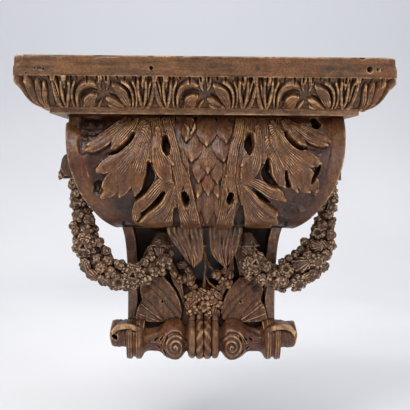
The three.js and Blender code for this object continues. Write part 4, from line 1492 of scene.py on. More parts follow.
def bloom(name, centre, facing, radius, petals, seed, kind="rose"):
    """A closed flower, bud, leaf or berry, carved on its face and plainly rounded behind."""
    draw = np.random.default_rng(seed)
    facing = np.array(facing, float)
    facing /= np.linalg.norm(facing)
    helper = np.array([0, 0, 1.0]) if abs(facing[2]) < 0.8 else np.array([1.0, 0, 0])
    a = np.cross(helper, facing)
    a /= np.linalg.norm(a)
    b = np.cross(facing, a)
    cell = 0.95
    rows = int(max(8, math.pi * radius / cell * 0.75))
    around = int(max(12, 2 * math.pi * radius / cell))
    polar = np.linspace(0, math.pi, rows + 2)[1:-1]
    turn = np.linspace(0, 2 * math.pi, around, endpoint=False)
    p, t = np.meshgrid(polar, turn, indexing="ij")
    face = smooth01((math.pi * 0.62 - p) / 0.9)
    start = draw.uniform(0, 6)
    u, v = np.sin(p) * np.cos(t), np.sin(p) * np.sin(t)
    flatten, long, wide = 0.75, 1.0, 1.0
    if kind == "rose":
        fold = np.abs(np.cos(petals * t / 2 + start)) ** 0.7 - 0.62
        r = 1.0 + face * 0.34 * fold * smooth01((p - 0.3) / 0.5)
        r -= 0.22 * smooth01((0.7 - p) / 0.3) * face + 0.12 * bump(p, 0.75, 0.12)
    elif kind == "rosette":
        fold = np.abs(np.cos(petals * t / 2 + start)) ** 0.6 - 0.6
        inner_fold = np.abs(np.cos(petals * t / 2 + start + 0.8)) ** 0.6 - 0.6
        r = 1.0 + 0.22 * fold * bump(p, 1.25, 0.6) + 0.24 * inner_fold * bump(p, 0.62, 0.32)
        r -= 0.2 * bump(p, 0.9, 0.13) + 0.55 * smooth01((0.24 - p * (1 + 0.3 * np.cos(3 * t + start))) / 0.12)
        flatten = 0.72
    elif kind == "cup":
        fold = np.abs(np.cos(2.5 * t + start)) ** 0.6 - 0.6
        r = 1.0 + 0.3 * fold * bump(p, 0.95, 0.6) - 0.55 * smooth01((0.6 - p) / 0.25)
        flatten = 0.85
    elif kind == "berry":
        r = 1.0 + 0.04 * np.cos(3 * t + 5 * p) - 0.22 * smooth01((0.34 - p) / 0.16)
        flatten = 0.95
    elif kind == "leaf":
        fan = np.arctan2(v, u + 1.25)
        r = 1.0 + 0.09 * np.cos(fan * 22) * face + 0.12 * np.cos(t) * np.sin(p)
        r -= 0.14 * bump(fan, 0.0, 0.08) * face
        flatten, long, wide = 0.5, 1.12, 0.86
    elif kind == "petal":
        r = 1.0 + 0.2 * np.cos(t) * np.sin(p) - 0.3 * bump(np.abs(v), 0.0, 0.45) * smooth01((1.2 - p) / 0.8)
        flatten, long, wide = 0.75, 1.3, 0.72
    elif kind == "bell":
        r = 1.0 + 0.2 * np.cos(4 * t + start) * smooth01((1.5 - p) / 0.8) * smooth01(p / 0.5)
        r -= 0.45 * smooth01((0.5 - p) / 0.2)
        flatten = 1.0
    else:
        r = 1.0 + 0.34 * (np.abs(np.cos(1.5 * t + start)) ** 0.7 - 0.6) * smooth01((p - 0.2) / 0.4) * face
        r -= 0.1 * smooth01((0.4 - p) / 0.2)
        flatten = 0.85
    grain = 0.09 * mottle(t * radius, p * radius, 2.6, seed % 97)
    r = r * radius * (1 + grain * smooth01((p - 0.3) / 0.5) * smooth01((2.6 - p) / 0.4))
    turned = start if kind in ("leaf", "petal") else 0.0
    cu, cv = u * r * long, v * r * wide
    du = cu * math.cos(turned) - cv * math.sin(turned)
    dv = cu * math.sin(turned) + cv * math.cos(turned)
    w = r * np.cos(p) * flatten
    rings = np.array(centre) + du[..., None] * a + dv[..., None] * b + w[..., None] * facing
    return tube(name, rings, 0.15 + 0.75 * draw.random())


def in_rounds(items):
    """Sorts (centre, radius, piece) into rounds whose pieces don't touch each other."""
    rounds = []
    for centre, radius, piece in items:
        for group in rounds:
            if all(np.linalg.norm(centre - c) > radius + r + 0.4 for c, r, _ in group):
                group.append((centre, radius, piece))
                break
        else:
            rounds.append([(centre, radius, piece)])
    return [merged("round", [piece for _, _, piece in group]) for group in rounds]


def stalk(name, stations):
    """A thin stem through the stations, which are across, depth, height and radius."""
    path = spline([(x, -y, z, r) for x, y, z, r in stations], 8)
    turn = np.linspace(0, 2 * math.pi, 14, endpoint=False)
    k, t = np.meshgrid(np.arange(len(path)), turn, indexing="ij")
    size = path[k, 3] * (1 + 0.1 * np.cos(2 * t + k))
    return tube(name, swept(path[:, :3], t, size)[0], 0.4)


STALKS = [
    [(1, 104, -140, 2.6), (2, 106, -165, 2.0), (1, 106, -185, 1.8), (0, 104, -204, 2.6)],
    [(3, 103, -160, 1.6), (9, 104, -170, 1.8), (15, 104, -176, 1.6)],
    [(0, 103, -164, 1.6), (-6, 104, -174, 1.8), (-14, 104, -182, 1.6)],
    [(2, 103, -184, 1.4), (8, 104, -193, 1.6), (16, 104, -200, 1.6)],
]
# Buds and leafy bits round the stems: across, depth, height, radius, kind
SPRAY = [
    (-21, 110, -187, 9, "bud"), (-22, 108, -176, 7, "petal"), (-30, 106, -168, 7, "leaf"),
    (-33, 106, -188, 6.5, "bud"),
    (-14, 104, -200, 5.5, "leaf"), (-42, 108, -180, 6, "petal"), (18, 109, -181, 7, "bud"),
    (27, 107, -190, 6.5, "rose"),
    (35, 107, -194, 6.5, "bud"), (21, 104, -201, 5.5, "leaf"), (29, 106, -176, 5.5, "leaf"),
    (38, 106, -181, 6, "petal"),
]


def spray():
    """The stems between the drooping leaves and the flower knot, with their buds and leaves."""
    draw = np.random.default_rng(77)
    items = []
    for x, y, z, radius, kind in SPRAY:
        place = np.array([x, -y, z], float)
        piece = bloom("bloom", place, (x * 0.01, -1, -0.2), radius, 5, int(draw.integers(1e6)), kind)
        items.append((place, radius * 1.3, piece))
    return in_rounds(items) + [stalk("stalk", stations) for stations in STALKS]


# The flower knot over the strap: across, height from its middle, radius, kind
KNOT = [
    (1, -4, 9.5, "cup"), (-13, 2, 8.5, "petal"), (-5, 9, 8, "rose"), (7, 9, 8, "bud"), (15, 3, 8.5, "leaf"),
    (-20, 8, 7, "bud"), (-14, 13, 6.5, "leaf"), (0, 15, 6.5, "petal"), (13, 14, 6.5, "rose"),
    (21, 9, 7, "petal"),
    (-22, -3, 6.5, "leaf"), (-13, -9, 7.5, "rose"), (-6, -15, 6.5, "leaf"), (7, -15, 6.5, "bud"),
    (14, -9, 7.5, "petal"),
    (22, -3, 6.5, "bud"), (-19, -14, 5.5, "bud"), (19, -14, 5.5, "leaf"),
]


def flower_knot():
    """The knot of flowers over the top of the strap."""
    draw = np.random.default_rng(17)
    items = []
    for x, z, radius, kind in KNOT:
        away = math.hypot(x, z)
        place = np.array([x, -108.0 + 0.16 * away - 3, -221.0 + z])
        facing = [x * 0.03, -1, z * 0.03]
        piece = bloom("bloom", place, facing, radius * 0.95, 5, int(draw.integers(1e6)), kind)
        items.append((place, radius * 1.35, piece))
    return in_rounds(items)


def build_body(settings):
    """The body, joined from its sheets, cores and small carvings, with its damage cut out."""
    pieces = [bulge_sheet(settings), bulge_lip(), neck_core(), neck_sheet(), foot_roll()]
    for side in (-1, 1):
        pieces += [bulge_side(side), side_eye(side), foot_boss(side), foot_flange(side), hanging_leaf(side)]
        pieces += [strap_bar(side * 16, 5, 3), strap_bar(side * 5.2, 4.8, 4.5, twist=side)]
    body = combined(bulge_core(), pieces + flower_knot() + spray())
    combined(body, damage(), "DIFFERENCE")
    body.name = body.data.name = "corbel_body.carved"
    largest_part(body)
    return body


# The garlands: across, depth, height, radius, from the calyx on the side volute's eye

GARLAND_ROUTE = [
    (187, 108, -36, 7),
    (182, 108, -50, 7.5),
    (177, 110, -68, 12.5),
    (170, 114, -95, 16.5),
    (166, 117, -118, 18.5),
    (160, 120, -141, 21.5),
    (148, 122, -160, 24),
    (134, 125, -173, 23),
    (118, 128, -182, 23),
    (98, 130, -182, 19),
    (80, 131, -173, 17),
    (67, 130, -161, 15.5),
    (60, 128, -146, 13),
    (57, 126, -130, 8),
]
OUTER_CALYX = [
    (20, 0), (19.4, 5), (17, 9.5), (12, 12.5), (4, 14), (-4, 14.2), (-9, 14), (-13, 15), (-13.4, 13.6),
    (-10, 11), (-8.4, 8), (-8, 0),
]
INNER_CALYX = [
    (8, 0), (7.4, 5), (5, 9.5), (-2, 13.4), (-9, 15.8), (-12, 17), (-12.2, 15.4), (-8, 10), (-5, 7),
    (-4, 0),
]
LONG_PETAL = [(-190, 108, -24, 6), (-196, 112, -36, 6), (-200, 114, -44, 4), (-202, 114, -49, 0.8)]
# The kinds of filling bloom, the chance up to which each is drawn, and its share of a flower's size
FILLING = [
    ("rose", 0.2, 1.0),
    ("bud", 0.45, 0.85),
    ("petal", 0.72, 0.85),
    ("leaf", 0.85, 0.8),
    ("berry", 1.0, 0.66),
]
# The flowers, buds, leaves and berries that show from the front: across, height, radius, kind
LEFT_BLOOMS = [
    (-182, -55, 7.5, "berry"),
    (-177, -67, 5, "berry"), (-180, -84, 6, "bud"), (-170, -80, 5, "bud"), (-175, -98, 7.5, "rose"),
    (-160, -103, 6.5, "bud"), (-181, -112, 6, "bud"), (-177, -120, 6, "berry"), (-162, -119, 8, "rose"),
    (-165, -139, 15, "rosette"), (-145, -134, 6.5, "bud"), (-135, -146, 6, "berry"), (-164, -165, 9, "leaf"),
    (-153, -179, 9, "leaf"), (-141, -168, 7.5, "berry"), (-132, -159, 6.5, "berry"),
    (-139, -187, 7.5, "petal"),
    (-130, -187, 7.5, "petal"), (-117, -187, 10.5, "cup"), (-116, -164, 7, "bud"), (-128, -175, 7, "bud"),
    (-98, -179, 15, "rosette"), (-82, -160, 5.5, "berry"), (-73, -153, 6, "bud"), (-78, -184, 5.5, "bud"),
    (-68, -173, 6.5, "rose"), (-56, -160, 10.5, "bell"), (-57, -176, 4, "berry"), (-62, -147, 6.5, "leaf"),
    (-66, -134, 7.5, "petal"), (-50, -137, 7, "leaf"), (-73, -143, 5.5, "berry"), (-47, -149, 5.5, "petal"),
]
RIGHT_BLOOMS = [
    (176, -86, 6, "bud"), (171, -94, 6, "bud"), (177, -103, 6, "petal"), (163, -110, 6.5, "bud"),
    (158, -119, 9, "cup"), (174, -122, 7, "bud"), (175, -136, 7, "bud"), (156, -137, 7.5, "leaf"),
    (164, -134, 6, "petal"), (143, -119, 5.5, "berry"), (139, -132, 5.5, "berry"), (134, -143, 5.5, "berry"),
    (127, -149, 6, "bud"), (117, -155, 5.5, "berry"), (108, -160, 5.5, "berry"), (142, -149, 6, "berry"),
    (155, -158, 10.5, "rose"), (167, -150, 7, "bud"), (164, -167, 8, "leaf"), (135, -162, 11, "leaf"),
    (151, -176, 8, "bud"), (141, -181, 8, "leaf"), (129, -187, 10, "rose"), (112, -171, 9.5, "cup"),
    (107, -185, 7.5, "berry"), (95, -178, 9, "bell"), (99, -191, 8, "petal"), (79, -183, 7.5, "berry"),
    (85, -165, 7.5, "berry"), (69, -161, 14.5, "rosette"), (62, -179, 5.5, "berry"), (55, -168, 8, "leaf"),
    (66, -133, 7, "petal"), (50, -136, 8, "petal"), (59, -143, 7, "leaf"), (47, -150, 6, "leaf"),
]


def petalled(count, depth):
    """A calyx is fluted into petals that part and flare towards its mouth."""

    def shape(a, t, r):
        low = smooth01((8 - (a - a.min())) / 18 + 0.35)
        fold = np.abs(np.cos(count * t / 2 + 0.4)) ** 0.6 - 0.6
        return r * (1 + 2 * depth * low * fold + 0.25 * depth * np.sin(7 * t))

    return shape


def front_blooms(side, place, radius, draw):
    """The blooms that show from the front, set on the garland's surface and facing away from it."""
    items = []
    for x, z, own, kind in LEFT_BLOOMS if side < 0 else RIGHT_BLOOMS:
        off = np.hypot(place[:, 0] - x, place[:, 2] - z)
        i = int(off.argmin())
        r = radius[i]
        lean = min(off[i] / r, 0.95)
        sideways = np.array([x - place[i, 0], 0.0, z - place[i, 2]]) / max(off[i], 1e-6)
        facing = sideways * lean * 0.9 + np.array([0, -math.sqrt(1 - (0.9 * lean) ** 2), 0])
        own *= 1.12
        sunk = own * (0.45 if own > 9 else 0.3)
        depth = place[i, 1] - math.sqrt(1 - lean**2) * max(r - sunk, 1.0)
        spot = np.array([x, depth, z])
        turned = facing + np.array([0.0, 0.0, -0.5]) if kind in ("bell", "petal") else facing
        piece = bloom("bloom", spot, turned, own, 5 if own < 9 else 8, int(draw.integers(1e6)), kind)
        items.append((spot, own * 1.3, piece))
    return items


def filling_blooms(place, radius, directions, base, shown, draw):
    """Smaller blooms, drawn by chance, in rings along the garland wherever none shows yet."""
    across, over, way = directions
    shown = [(c, r / 1.3) for c, r, _ in shown]
    run = run_of(np.linalg.norm(np.diff(place, axis=0), axis=1))
    items = []
    at = 16.0
    while at < run[-1] - 6:
        i = int(np.interp(at, run, np.arange(len(run))))
        r = radius[i]
        flower = base * (0.62 if r < 12 else draw.uniform(0.75, 1.1))
        surface = max(r - flower * 0.75, 2.0)
        count = max(int(round(2 * math.pi * max(surface, 4) / (flower * 1.75))), 3)
        first = draw.uniform(0, 2 * math.pi)
        for j in range(count):
            angle = first + (j + draw.uniform(-0.2, 0.2)) / count * 2 * math.pi
            out = across[i] * math.cos(angle) + over[i] * math.sin(angle)
            facing = out + way[i] * draw.uniform(-0.5, 0.5) + np.array([0, 0, 0.1])
            spot = place[i] + out * (surface + draw.uniform(-2.2, 0.6)) + way[i] * draw.uniform(-2, 2)
            chance = draw.random()
            kind, share = next((k, share) for k, most, share in FILLING if chance <= most)
            own = flower * share
            if all(np.linalg.norm(spot - c) > 0.95 * held + 0.4 * own for c, held in shown):
                petals, seed = int(draw.integers(4, 7)), int(draw.integers(1e6))
                piece = bloom("bloom", spot, facing, own, petals, seed, kind)
                items.append((spot, own * 1.28, piece))
        at += flower * 1.5
    return items


def calyxes(side):
    """The flared calyx at each end of a garland. The left one's upper calyx is larger, with a
    long petal and a hollow."""
    slim = 1.0 if side < 0 else 0.5
    pairs = [(a * 1.08, r * slim) for a, r in OUTER_CALYX]
    centre = (side * (183 + 4 * slim), -107, -33)
    outer = lathe("outer_calyx", pairs, centre, 90, "z", petalled(4, 0.04), 0.8)
    if side < 0:
        combined(outer, [stalk("petal", LONG_PETAL)])
        combined(outer, [worn_at("hollow", (-191, -123, -46), 4.6, 9, 8)], "DIFFERENCE")
    centre = (side * 57, -126, -126)
    return [outer, lathe("inner_calyx", INNER_CALYX, centre, 90, "z", petalled(5, 0.28), 0.8)]


def garland(side, settings):
    """One garland: a core along its route, with blooms all over it and a calyx at each end."""
    path = spline([(side * x, -d, z, r) for x, d, z, r in GARLAND_ROUTE], 12)
    place, radius = path[:, :3], path[:, 3]
    turn = np.linspace(0, 2 * math.pi, 28, endpoint=False)
    k, t = np.meshgrid(np.arange(len(path)), turn, indexing="ij")
    size = np.minimum(radius[k] * 0.62, radius[k] - 3.5)
    size = size * (1 + 0.06 * np.cos(5 * t + k))
    rings, *directions = swept(place, t, size)
    core = tube("garland_core", rings)
    draw = np.random.default_rng(29 + side)
    items = front_blooms(side, place, radius, draw)
    items += filling_blooms(place, radius, directions, settings.bloom_radius / MM, items, draw)
    return combined(core, in_rounds(items) + calyxes(side))


def shifted(obj, across):
    """Moves a finished mesh sideways, and holds it before the wall and above the CAD model's foot."""
    vertices = obj.data.vertices
    places = read_rows(vertices, "co", np.float32)
    places[:, 0] += across * MM
    places[:, 1] = np.minimum(places[:, 1], 0.0)
    places[:, 2] = np.clip(places[:, 2], CAD_BOX[0][2], None)
    vertices.foreach_set("co", places.ravel())
    obj.data.update()
    return obj


# Finishes

PALE_WOOD = (0.37, 0.225, 0.155)
HONEY_WOOD = (0.47, 0.225, 0.092)
DUST = (0.17, 0.115, 0.085)


class Nodes:
    """Short ways to make and join the nodes of one material."""

    def __init__(self, name):
        self.material = bpy.data.materials.new(name)
        self.material.use_nodes = True
        self.tree = self.material.node_tree
        self.shader = self.tree.nodes["Principled BSDF"]

    def put(self, target, value):
        """Joins a socket to the value where that is an output, or else sets it."""
        if hasattr(value, "is_output"):
            self.tree.links.new(value, target)
        elif value is not None:
            target.default_value = value

    def node(self, kind, inputs=None, **settings):
        made = self.tree.nodes.new(kind)
        for key, value in settings.items():
            setattr(made, key, value)
        for key, value in (inputs or {}).items():
            self.put(made.inputs[key], value)
        return made

    def math(self, operation, a, b=None, c=None, clamp=False):
        made = self.tree.nodes.new("ShaderNodeMath")
        made.operation = operation
        made.use_clamp = clamp
        for socket, value in zip(made.inputs, (a, b, c)):
            self.put(socket, value)
        return made.outputs[0]

    def ramp(self, value, low, high, to_low=0.0, to_high=1.0):
        """A soft step in the value between two limits."""
        made = self.node(
            "ShaderNodeMapRange",
            {"Value": value, "From Min": low, "From Max": high, "To Min": to_low, "To Max": to_high},
        )
        made.interpolation_type = "SMOOTHSTEP"
        return made.outputs["Result"]

    def mix(self, share, a, b, blend="MIX"):
        made = self.tree.nodes.new("ShaderNodeMix")
        made.data_type = "RGBA"
        made.blend_type = blend
        self.put(made.inputs["Factor"], share)
        self.put(made.inputs["A"], (*a, 1) if isinstance(a, tuple) and len(a) == 3 else a)
        self.put(made.inputs["B"], (*b, 1) if isinstance(b, tuple) and len(b) == 3 else b)
        return made.outputs["Result"]

    def moved(self, vector, by):
        return self.node("ShaderNodeMapping", {"Vector": vector, "Location": by}).outputs["Vector"]

    def scaled(self, vector, by):
        return self.node("ShaderNodeMapping", {"Vector": vector, "Scale": by}).outputs["Vector"]

    def held(self, name):
        """A mark that the mesh holds at each point."""
        return self.node("ShaderNodeAttribute", attribute_name=name).outputs["Fac"]

    def noise(self, vector, scale, detail=3.0, rough=0.55):
        made = self.node(
            "ShaderNodeTexNoise", {"Vector": vector, "Scale": scale, "Detail": detail, "Roughness": rough}
        )
        return made.outputs["Fac"]


def tinted(colour, shares):
    """A colour whose three parts are multiplied by three shares."""
    return tuple(v * f for v, f in zip(colour, shares))


def wood(name, colours, along="Z", gloss=0.42, grain=1.0, dust=0.0):
    """Old varnished wood: red-brown on the ground, with shade painted black into its hollows and
    grooves, and a golden tone on crests that is rubbed wear and painted highlight.
    """
    n = Nodes(name)
    place = n.node("ShaderNodeTexCoord").outputs["Object"]
    stretch = {"X": (14, 210, 210), "Z": (210, 210, 14)}[along]
    fibre = n.noise(n.scaled(place, stretch), 1.0, 6.0, 0.68)
    pores = n.noise(n.scaled(place, tinted(stretch, (4, 4, 4))), 1.3, 2.0, 0.5)
    pores = n.ramp(pores, 0.58, 0.70)
    patch = n.noise(place, 19.0, 4.0, 0.6)
    red_patch = n.noise(n.moved(place, (3, 5, 7)), 30.0, 4.0, 0.6)
    grey_patch = n.noise(n.moved(place, (9, 2, 4)), 38.0, 4.0, 0.6)
    golden_patch = n.noise(n.moved(place, (1, 8, 2)), 24.0, 3.0, 0.55)
    cloud = n.noise(place, 90.0, 5.0, 0.65)
    speck = n.noise(place, 340.0, 3.0, 0.6)
    open_air, crest, leaf = n.held("openness"), n.held("crest"), n.held("leaf")
    deep, ground, middle, worn = colours

    # The bare tone of ground and leaf, and the two paler tones
    tone = n.mix(n.ramp(leaf, 0.1, 0.8), ground, middle)
    pale = n.ramp(leaf, 1.0, 2.0)
    tone = n.mix(pale, tone, PALE_WOOD)
    tone = n.mix(n.ramp(leaf, 2.0, 3.0), tone, HONEY_WOOD)

    # Patches of other tones, small dirt, crests lightened as rubbed wear and painted highlight, fibres and
    # pores
    golden = n.mix(0.5, tone, tinted(middle, (1.7, 1.75, 1.2)))
    tone = n.mix(n.ramp(golden_patch, 0.48, 0.66, 0.0, 0.6), tone, golden)
    tone = n.mix(n.ramp(patch, 0.40, 0.70, 0.0, 0.75), tone, n.mix(0.75, tone, ground))
    tone = n.mix(n.ramp(red_patch, 0.50, 0.68, 0.0, 0.55), tone, tinted(ground, (1.45, 0.85, 0.6)))
    grey = tuple(0.6 * v + f for v, f in zip(ground, (0.075, 0.055, 0.052)))
    tone = n.mix(n.ramp(grey_patch, 0.54, 0.72, 0.0, 0.45), tone, grey)
    tone = n.mix(n.ramp(cloud, 0.34, 0.62, 0.62, 0.0), tone, n.mix(0.6, tone, deep))
    tone = n.mix(n.ramp(speck, 0.35, 0.6, 0.4, 0.0), tone, deep)
    # Crests that stand proud and open to the air take the worn colour, as rubbed wear and as a painted
    # highlight
    lift = n.math("MULTIPLY", n.ramp(crest, 0.55, 0.83), n.ramp(open_air, 0.40, 0.80))
    lift = n.math("MULTIPLY", lift, n.ramp(cloud, 0.36, 0.60, 0.25, 1.0))
    tone = n.mix(lift, tone, worn)
    tone = n.mix(n.ramp(fibre, 0.40, 0.62, 0.0, 0.75 * grain), tone, n.mix(0.6, tone, deep))
    tone = n.mix(n.math("MULTIPLY", pores, 0.45 * grain), tone, deep)

    # Painted shade: dark in hollows closed to the air and in grooves, less on the paler tones, and where the
    # leaf mark is below 0, which marks painted shade in gaps and under overhangs, and darker stains
    painted_shade = n.ramp(open_air, 0.14, 0.64, 1.0, 0.0)
    groove = n.ramp(crest, 0.28, 0.5)
    painted_shade = n.math("MAXIMUM", painted_shade, n.ramp(groove, 0.0, 0.95, 0.8, 0.0))
    painted_shade = n.math("MULTIPLY", painted_shade, n.ramp(pale, 0.0, 1.0, 1.0, 0.6))
    painted_shade = n.math("MAXIMUM", painted_shade, n.ramp(leaf, -0.9, -0.05, 0.9, 0.0))
    tone = n.mix(painted_shade, tone, deep)
    if dust:
        open_dust = n.math("MULTIPLY", n.ramp(open_air, 0.30, 0.74), dust)
        tone = n.mix(n.math("MULTIPLY", n.ramp(cloud, 0.42, 0.66), open_dust), tone, DUST)
    n.put(n.shader.inputs["Base Color"], tone)

    sheen = n.ramp(cloud, 0.25, 0.75, gloss - 0.10, gloss + 0.16)
    sheen = n.math("ADD", sheen, n.ramp(open_air, 0.2, 0.7, 0.35, 0.0))
    n.put(n.shader.inputs["Roughness"], n.math("ADD", sheen, n.math("MULTIPLY", pores, 0.15), clamp=True))
    n.put(n.shader.inputs["Specular IOR Level"], 0.40)
    relief = n.math("ADD", n.math("MULTIPLY", fibre, 0.6), n.math("MULTIPLY", pores, -0.5))
    small = n.math("ADD", n.math("MULTIPLY", cloud, 0.8), n.math("MULTIPLY", speck, 0.35))
    relief = n.math("ADD", relief, small)
    fine = n.node("ShaderNodeBump", {"Strength": 0.5, "Distance": 0.0009, "Height": relief})
    n.put(n.shader.inputs["Normal"], fine.outputs["Normal"])
    return n.material


def dress(obj, material, node):
    """Gives a piece its finish and smooth shading, hangs it under the root, and hides the CAD node that it
    stands in for.
    """
    obj.data.materials.clear()
    obj.data.materials.append(material)
    shaded(obj)
    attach(obj, "root")
    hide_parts(node)
    return obj


def colours_of(settings, *names):
    return tuple(tuple(getattr(settings, name)) for name in names)


# The settings that a user may change


def shade_property(name, description, default):
    return bpy.props.FloatVectorProperty(
        name=name, description=description, subtype="COLOR", size=3, min=0, max=1, default=default
    )


def number_property(name, description, default, low, high, **more):
    return bpy.props.FloatProperty(
        name=name, description=description, default=default, min=low, max=high, **more
    )


class CarvingSettings(bpy.types.PropertyGroup):
    leaf_rise: number_property(
        "Leaf rise",
        "How high the leaves stand, as a share of the measured height",
        1.0,
        0.5,
        1.2,
        subtype="FACTOR",
    )
    vein_depth: number_property(
        "Vein depth", "Depth of the veins cut along each leaf", 0.00055, 0.0, 0.0015, unit="LENGTH"
    )
    bloom_radius: number_property(
        "Bloom radius", "Radius of a carved flower on the garlands", 0.0080, 0.004, 0.012, unit="LENGTH"
    )
    body_triangles: bpy.props.IntProperty(
        name="Body triangles",
        description="Most triangles in the carved body",
        default=192000,
        min=20000,
        max=199000,
    )


class WoodSettings(bpy.types.PropertyGroup):
    # The hollows' colour is the painted shade; the same tone also darkens fibres, pores, specks and random
    # patches
    deep: shade_property("Hollows", "Colour of the wood deep in the carving", (0.0080, 0.0042, 0.0034))
    ground: shade_property(
        "Ground", "Colour of the varnished ground between the leaves", (0.108, 0.031, 0.015)
    )
    leaf: shade_property("Leaf", "Colour of the leaves", (0.222, 0.088, 0.027))
    # The worn colour lightens crests as rubbed wear and as a painted highlight
    worn: shade_property(
        "Worn crest", "Colour where handling has rubbed the varnish thin", (0.73, 0.43, 0.21)
    )
    board: shade_property("Board", "Colour of the shelf's plain band", (0.178, 0.076, 0.027))
    garland: shade_property(
        "Garland", "Colour of the garlands, which kept less varnish", (0.138, 0.065, 0.031)
    )
    # The garlands' crest colour is rubbed wear and painted highlight
    garland_wear_and_highlight: shade_property("Garland crest", "Colour of the garlands' high points", (0.70, 0.45, 0.27))
    gloss: number_property("Roughness", "Roughness of the old varnish", 0.36, 0.1, 1.0, subtype="FACTOR")


class StudioSettings(bpy.types.PropertyGroup):
    floor_colour: shade_property("Floor", "Colour of the studio floor", (0.68, 0.69, 0.73))
    drop: bpy.props.FloatProperty(
        name="Floor height",
        description="Height of the floor under the bracket's mount",
        default=-0.42,
        unit="LENGTH",
    )
    key_power: number_property("Key light", "Power of the main soft light, in watts", 26.5, 0.0, 500.0)
    fill_power: number_property(
        "Fill light", "Power of each of the other soft lights, in watts", 8.5, 0.0, 500.0
    )


class CORBEL_OT_shelf(bpy.types.Operator):
    """Build the moulded shelf"""

    bl_idname = "corbel.moulded_shelf"
    bl_label = "Moulded shelf"

    def execute(self, context):
        look = context.scene.corbel_wood
        obj = thinned(build_shelf(), *SHELF_TRIANGLES)
        shade_and_wear_marks(obj)
        colours = colours_of(look, "deep", "board", "leaf", "worn")
        finish = wood("old varnished board", colours, "X", look.gloss + 0.06)
        dress(obj, finish, "moulded_shelf")
        return {"FINISHED"}


class CORBEL_OT_body(bpy.types.Operator):
    """Build the leaf-carved body"""

    bl_idname = "corbel.carved_body"
    bl_label = "Carved body"

    def execute(self, context):
        look = context.scene.corbel_wood
        carving = context.scene.corbel_carving
        obj = thinned(build_body(carving), carving.body_triangles, BODY_DRAFT_TRIANGLES)
        shade_and_wear_marks(shifted(obj, BODY_SHIFT))
        colours = colours_of(look, "deep", "ground", "leaf", "worn")
        finish = wood("old carved wood", colours, "Z", look.gloss)
        dress(obj, finish, "corbel_body")
        return {"FINISHED"}


class CORBEL_OT_garlands(bpy.types.Operator):
    """Build the two flower garlands"""

    bl_idname = "corbel.garlands"
    bl_label = "Flower garlands"

    def execute(self, context):
        look = context.scene.corbel_wood
        deep, middle, worn = colours_of(look, "deep", "garland", "garland_wear_and_highlight")
        lower = tinted(middle, (0.55, 0.45, 0.45))
        colours = (deep, lower, middle, worn)
        finish = wood("old garland wood", colours, "Z", look.gloss + 0.18, 0.6, dust=0.2)
        for side, node in ((-1, "garland_left"), (1, "garland_right")):
            obj = garland(side, context.scene.corbel_carving)
            largest_part(shifted(obj, BODY_SHIFT))
            thinned(obj, *GARLAND_TRIANGLES)
            shade_and_wear_marks(obj, reach=0.018)
            obj.name = obj.data.name = node + ".carved"
            dress(obj, finish, node)
        return {"FINISHED"}


# The studio's soft round lights: name, place, width, share of the key or fill light, tint
LAMPS = (
    ("key_light", (-0.75, -1.35, 1.25), 1.0, 1.0, (1.0, 0.97, 0.93)),
    ("fill_light", (1.1, -1.3, 0.35), 1.2, 1.0, (0.93, 0.96, 1.0)),
    ("top_light", (0.1, -0.5, 1.7), 1.3, 1.0, (1.0, 0.99, 0.97)),
    ("floor_light", (0.0, 1.0, 1.6), 2.2, 1.8, (0.97, 0.98, 1.0)),
)
# Where the camera stands in metres, and how far it is turned right, dipped and rolled
CAMERA_PLACE = (-0.025, -1.448, -0.017)
CAMERA_TURN = 1.216
CAMERA_DIP = 2.815
CAMERA_ROLL = 0.0073


def studio_floor(look):
    """A pale floor that curves up into a wall behind the bracket."""
    bend, radius = 1.4, 0.9
    curve = [(-3.0, 0.0), (bend, 0.0)]
    for a in np.linspace(0.1, math.pi / 2, 14):
        curve.append((bend + radius * math.sin(a), radius - radius * math.cos(a)))
    curve += [(2.3, 3.2)]
    mesh = bpy.data.meshes.new("studio_floor")
    points = [(x, y, look.drop + z) for y, z in curve for x in (-4.0, 4.0)]
    faces = [(2 * i, 2 * i + 1, 2 * i + 3, 2 * i + 2) for i in range(len(curve) - 1)]
    mesh.from_pydata(points, [], faces)
    mesh.shade_smooth()
    n = Nodes("pale studio floor")
    place = n.node("ShaderNodeTexCoord").outputs["Object"]
    soft = n.noise(place, 1.2, 2.0)
    base = colours_of(look, "floor_colour")[0]
    height = n.node("ShaderNodeSeparateXYZ", {"Vector": place}).outputs["Z"]
    low = n.mix(n.ramp(height, look.drop, look.drop + 0.9), (0.93, 0.93, 0.95), base)
    tone = n.mix(n.ramp(soft, 0.3, 0.7, 0.0, 0.3), low, tinted(base, (0.96, 0.96, 0.96)))
    n.put(n.shader.inputs["Base Color"], tone)
    n.put(n.shader.inputs["Roughness"], 0.9)
    mesh.materials.append(n.material)
    return bpy.data.objects.new("studio_floor", mesh)


def studio_lamp(look, name, place, width, share, tint):
    light = bpy.data.lights.new(name, "AREA")
    light.shape = "DISK"
    light.size = width
    light.energy = (look.key_power if name == "key_light" else look.fill_power) * share
    light.color = tint
    lamp = bpy.data.objects.new(name, light)
    lamp.location = place
    target = Vector((0, 1.8, 0.2)) if name == "floor_light" else Vector((0, -0.1, -0.1))
    lamp.rotation_euler = (target - Vector(place)).to_track_quat("-Z", "Y").to_euler()
    return lamp


def studio_camera():
    """The camera, where the photograph was taken from."""
    lens = bpy.data.cameras.new("camera")
    lens.sensor_width = FILM_WIDTH
    lens.lens = FILM_WIDTH * PHOTO_FOCUS_PX / PHOTO_SIDE_PX
    camera = bpy.data.objects.new("camera", lens)
    camera.location = CAMERA_PLACE
    aim = Vector((math.tan(math.radians(CAMERA_TURN)), 1.0, -math.tan(math.radians(CAMERA_DIP))))
    camera.rotation_mode = "QUATERNION"
    camera.rotation_quaternion = aim.to_track_quat("-Z", "Y") @ Quaternion((0, 0, 1), CAMERA_ROLL)
    return camera


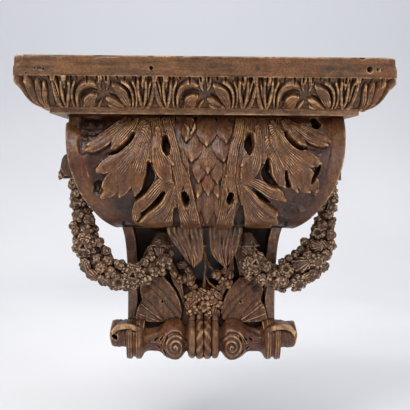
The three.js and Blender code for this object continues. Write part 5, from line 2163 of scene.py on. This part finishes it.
class CORBEL_OT_studio(bpy.types.Operator):
    """Set up the floor, lights and camera"""

    bl_idname = "corbel.studio"
    bl_label = "Studio stage"

    def execute(self, context):
        look = context.scene.corbel_studio
        scene = context.scene
        floor = studio_floor(look)
        scene.collection.objects.link(floor)
        world = bpy.data.worlds.new("pale studio air")
        world.use_nodes = True
        sky = world.node_tree.nodes["Background"]
        sky.inputs["Color"].default_value = (0.95, 0.96, 1.0, 1)
        sky.inputs["Strength"].default_value = 0.38
        scene.world = world
        for lamp in LAMPS:
            scene.collection.objects.link(studio_lamp(look, *lamp))
        camera = studio_camera()
        scene.collection.objects.link(camera)
        scene.camera = camera
        scene.view_settings.view_transform = "Standard"
        return {"FINISHED"}


class CORBEL_PT_panel(bpy.types.Panel):
    bl_idname = "CORBEL_PT_panel"
    bl_label = "Carved corbel bracket"
    bl_space_type = "VIEW_3D"
    bl_region_type = "UI"
    bl_category = "Corbel"

    def draw(self, context):
        for key in ("corbel_carving", "corbel_wood", "corbel_studio"):
            box = self.layout.box()
            settings = getattr(context.scene, key)
            for name in settings.__annotations__:
                box.prop(settings, name)
        for operator in OPERATORS:
            self.layout.operator(operator.bl_idname)


OPERATORS = (CORBEL_OT_shelf, CORBEL_OT_body, CORBEL_OT_garlands, CORBEL_OT_studio)
SETTINGS = {"corbel_carving": CarvingSettings, "corbel_wood": WoodSettings, "corbel_studio": StudioSettings}


def register():
    for part in (*SETTINGS.values(), *OPERATORS, CORBEL_PT_panel):
        bpy.utils.register_class(part)
    for key, part in SETTINGS.items():
        setattr(bpy.types.Scene, key, bpy.props.PointerProperty(type=part))


def unregister():
    for key in SETTINGS:
        delattr(bpy.types.Scene, key)
    for part in (CORBEL_PT_panel, *reversed(OPERATORS), *reversed(tuple(SETTINGS.values()))):
        bpy.utils.unregister_class(part)


def main():
    register()
    bpy.ops.corbel.studio()
    bpy.ops.corbel.moulded_shelf()
    bpy.ops.corbel.carved_body()
    bpy.ops.corbel.garlands()


if __name__ == "__main__":
    main()
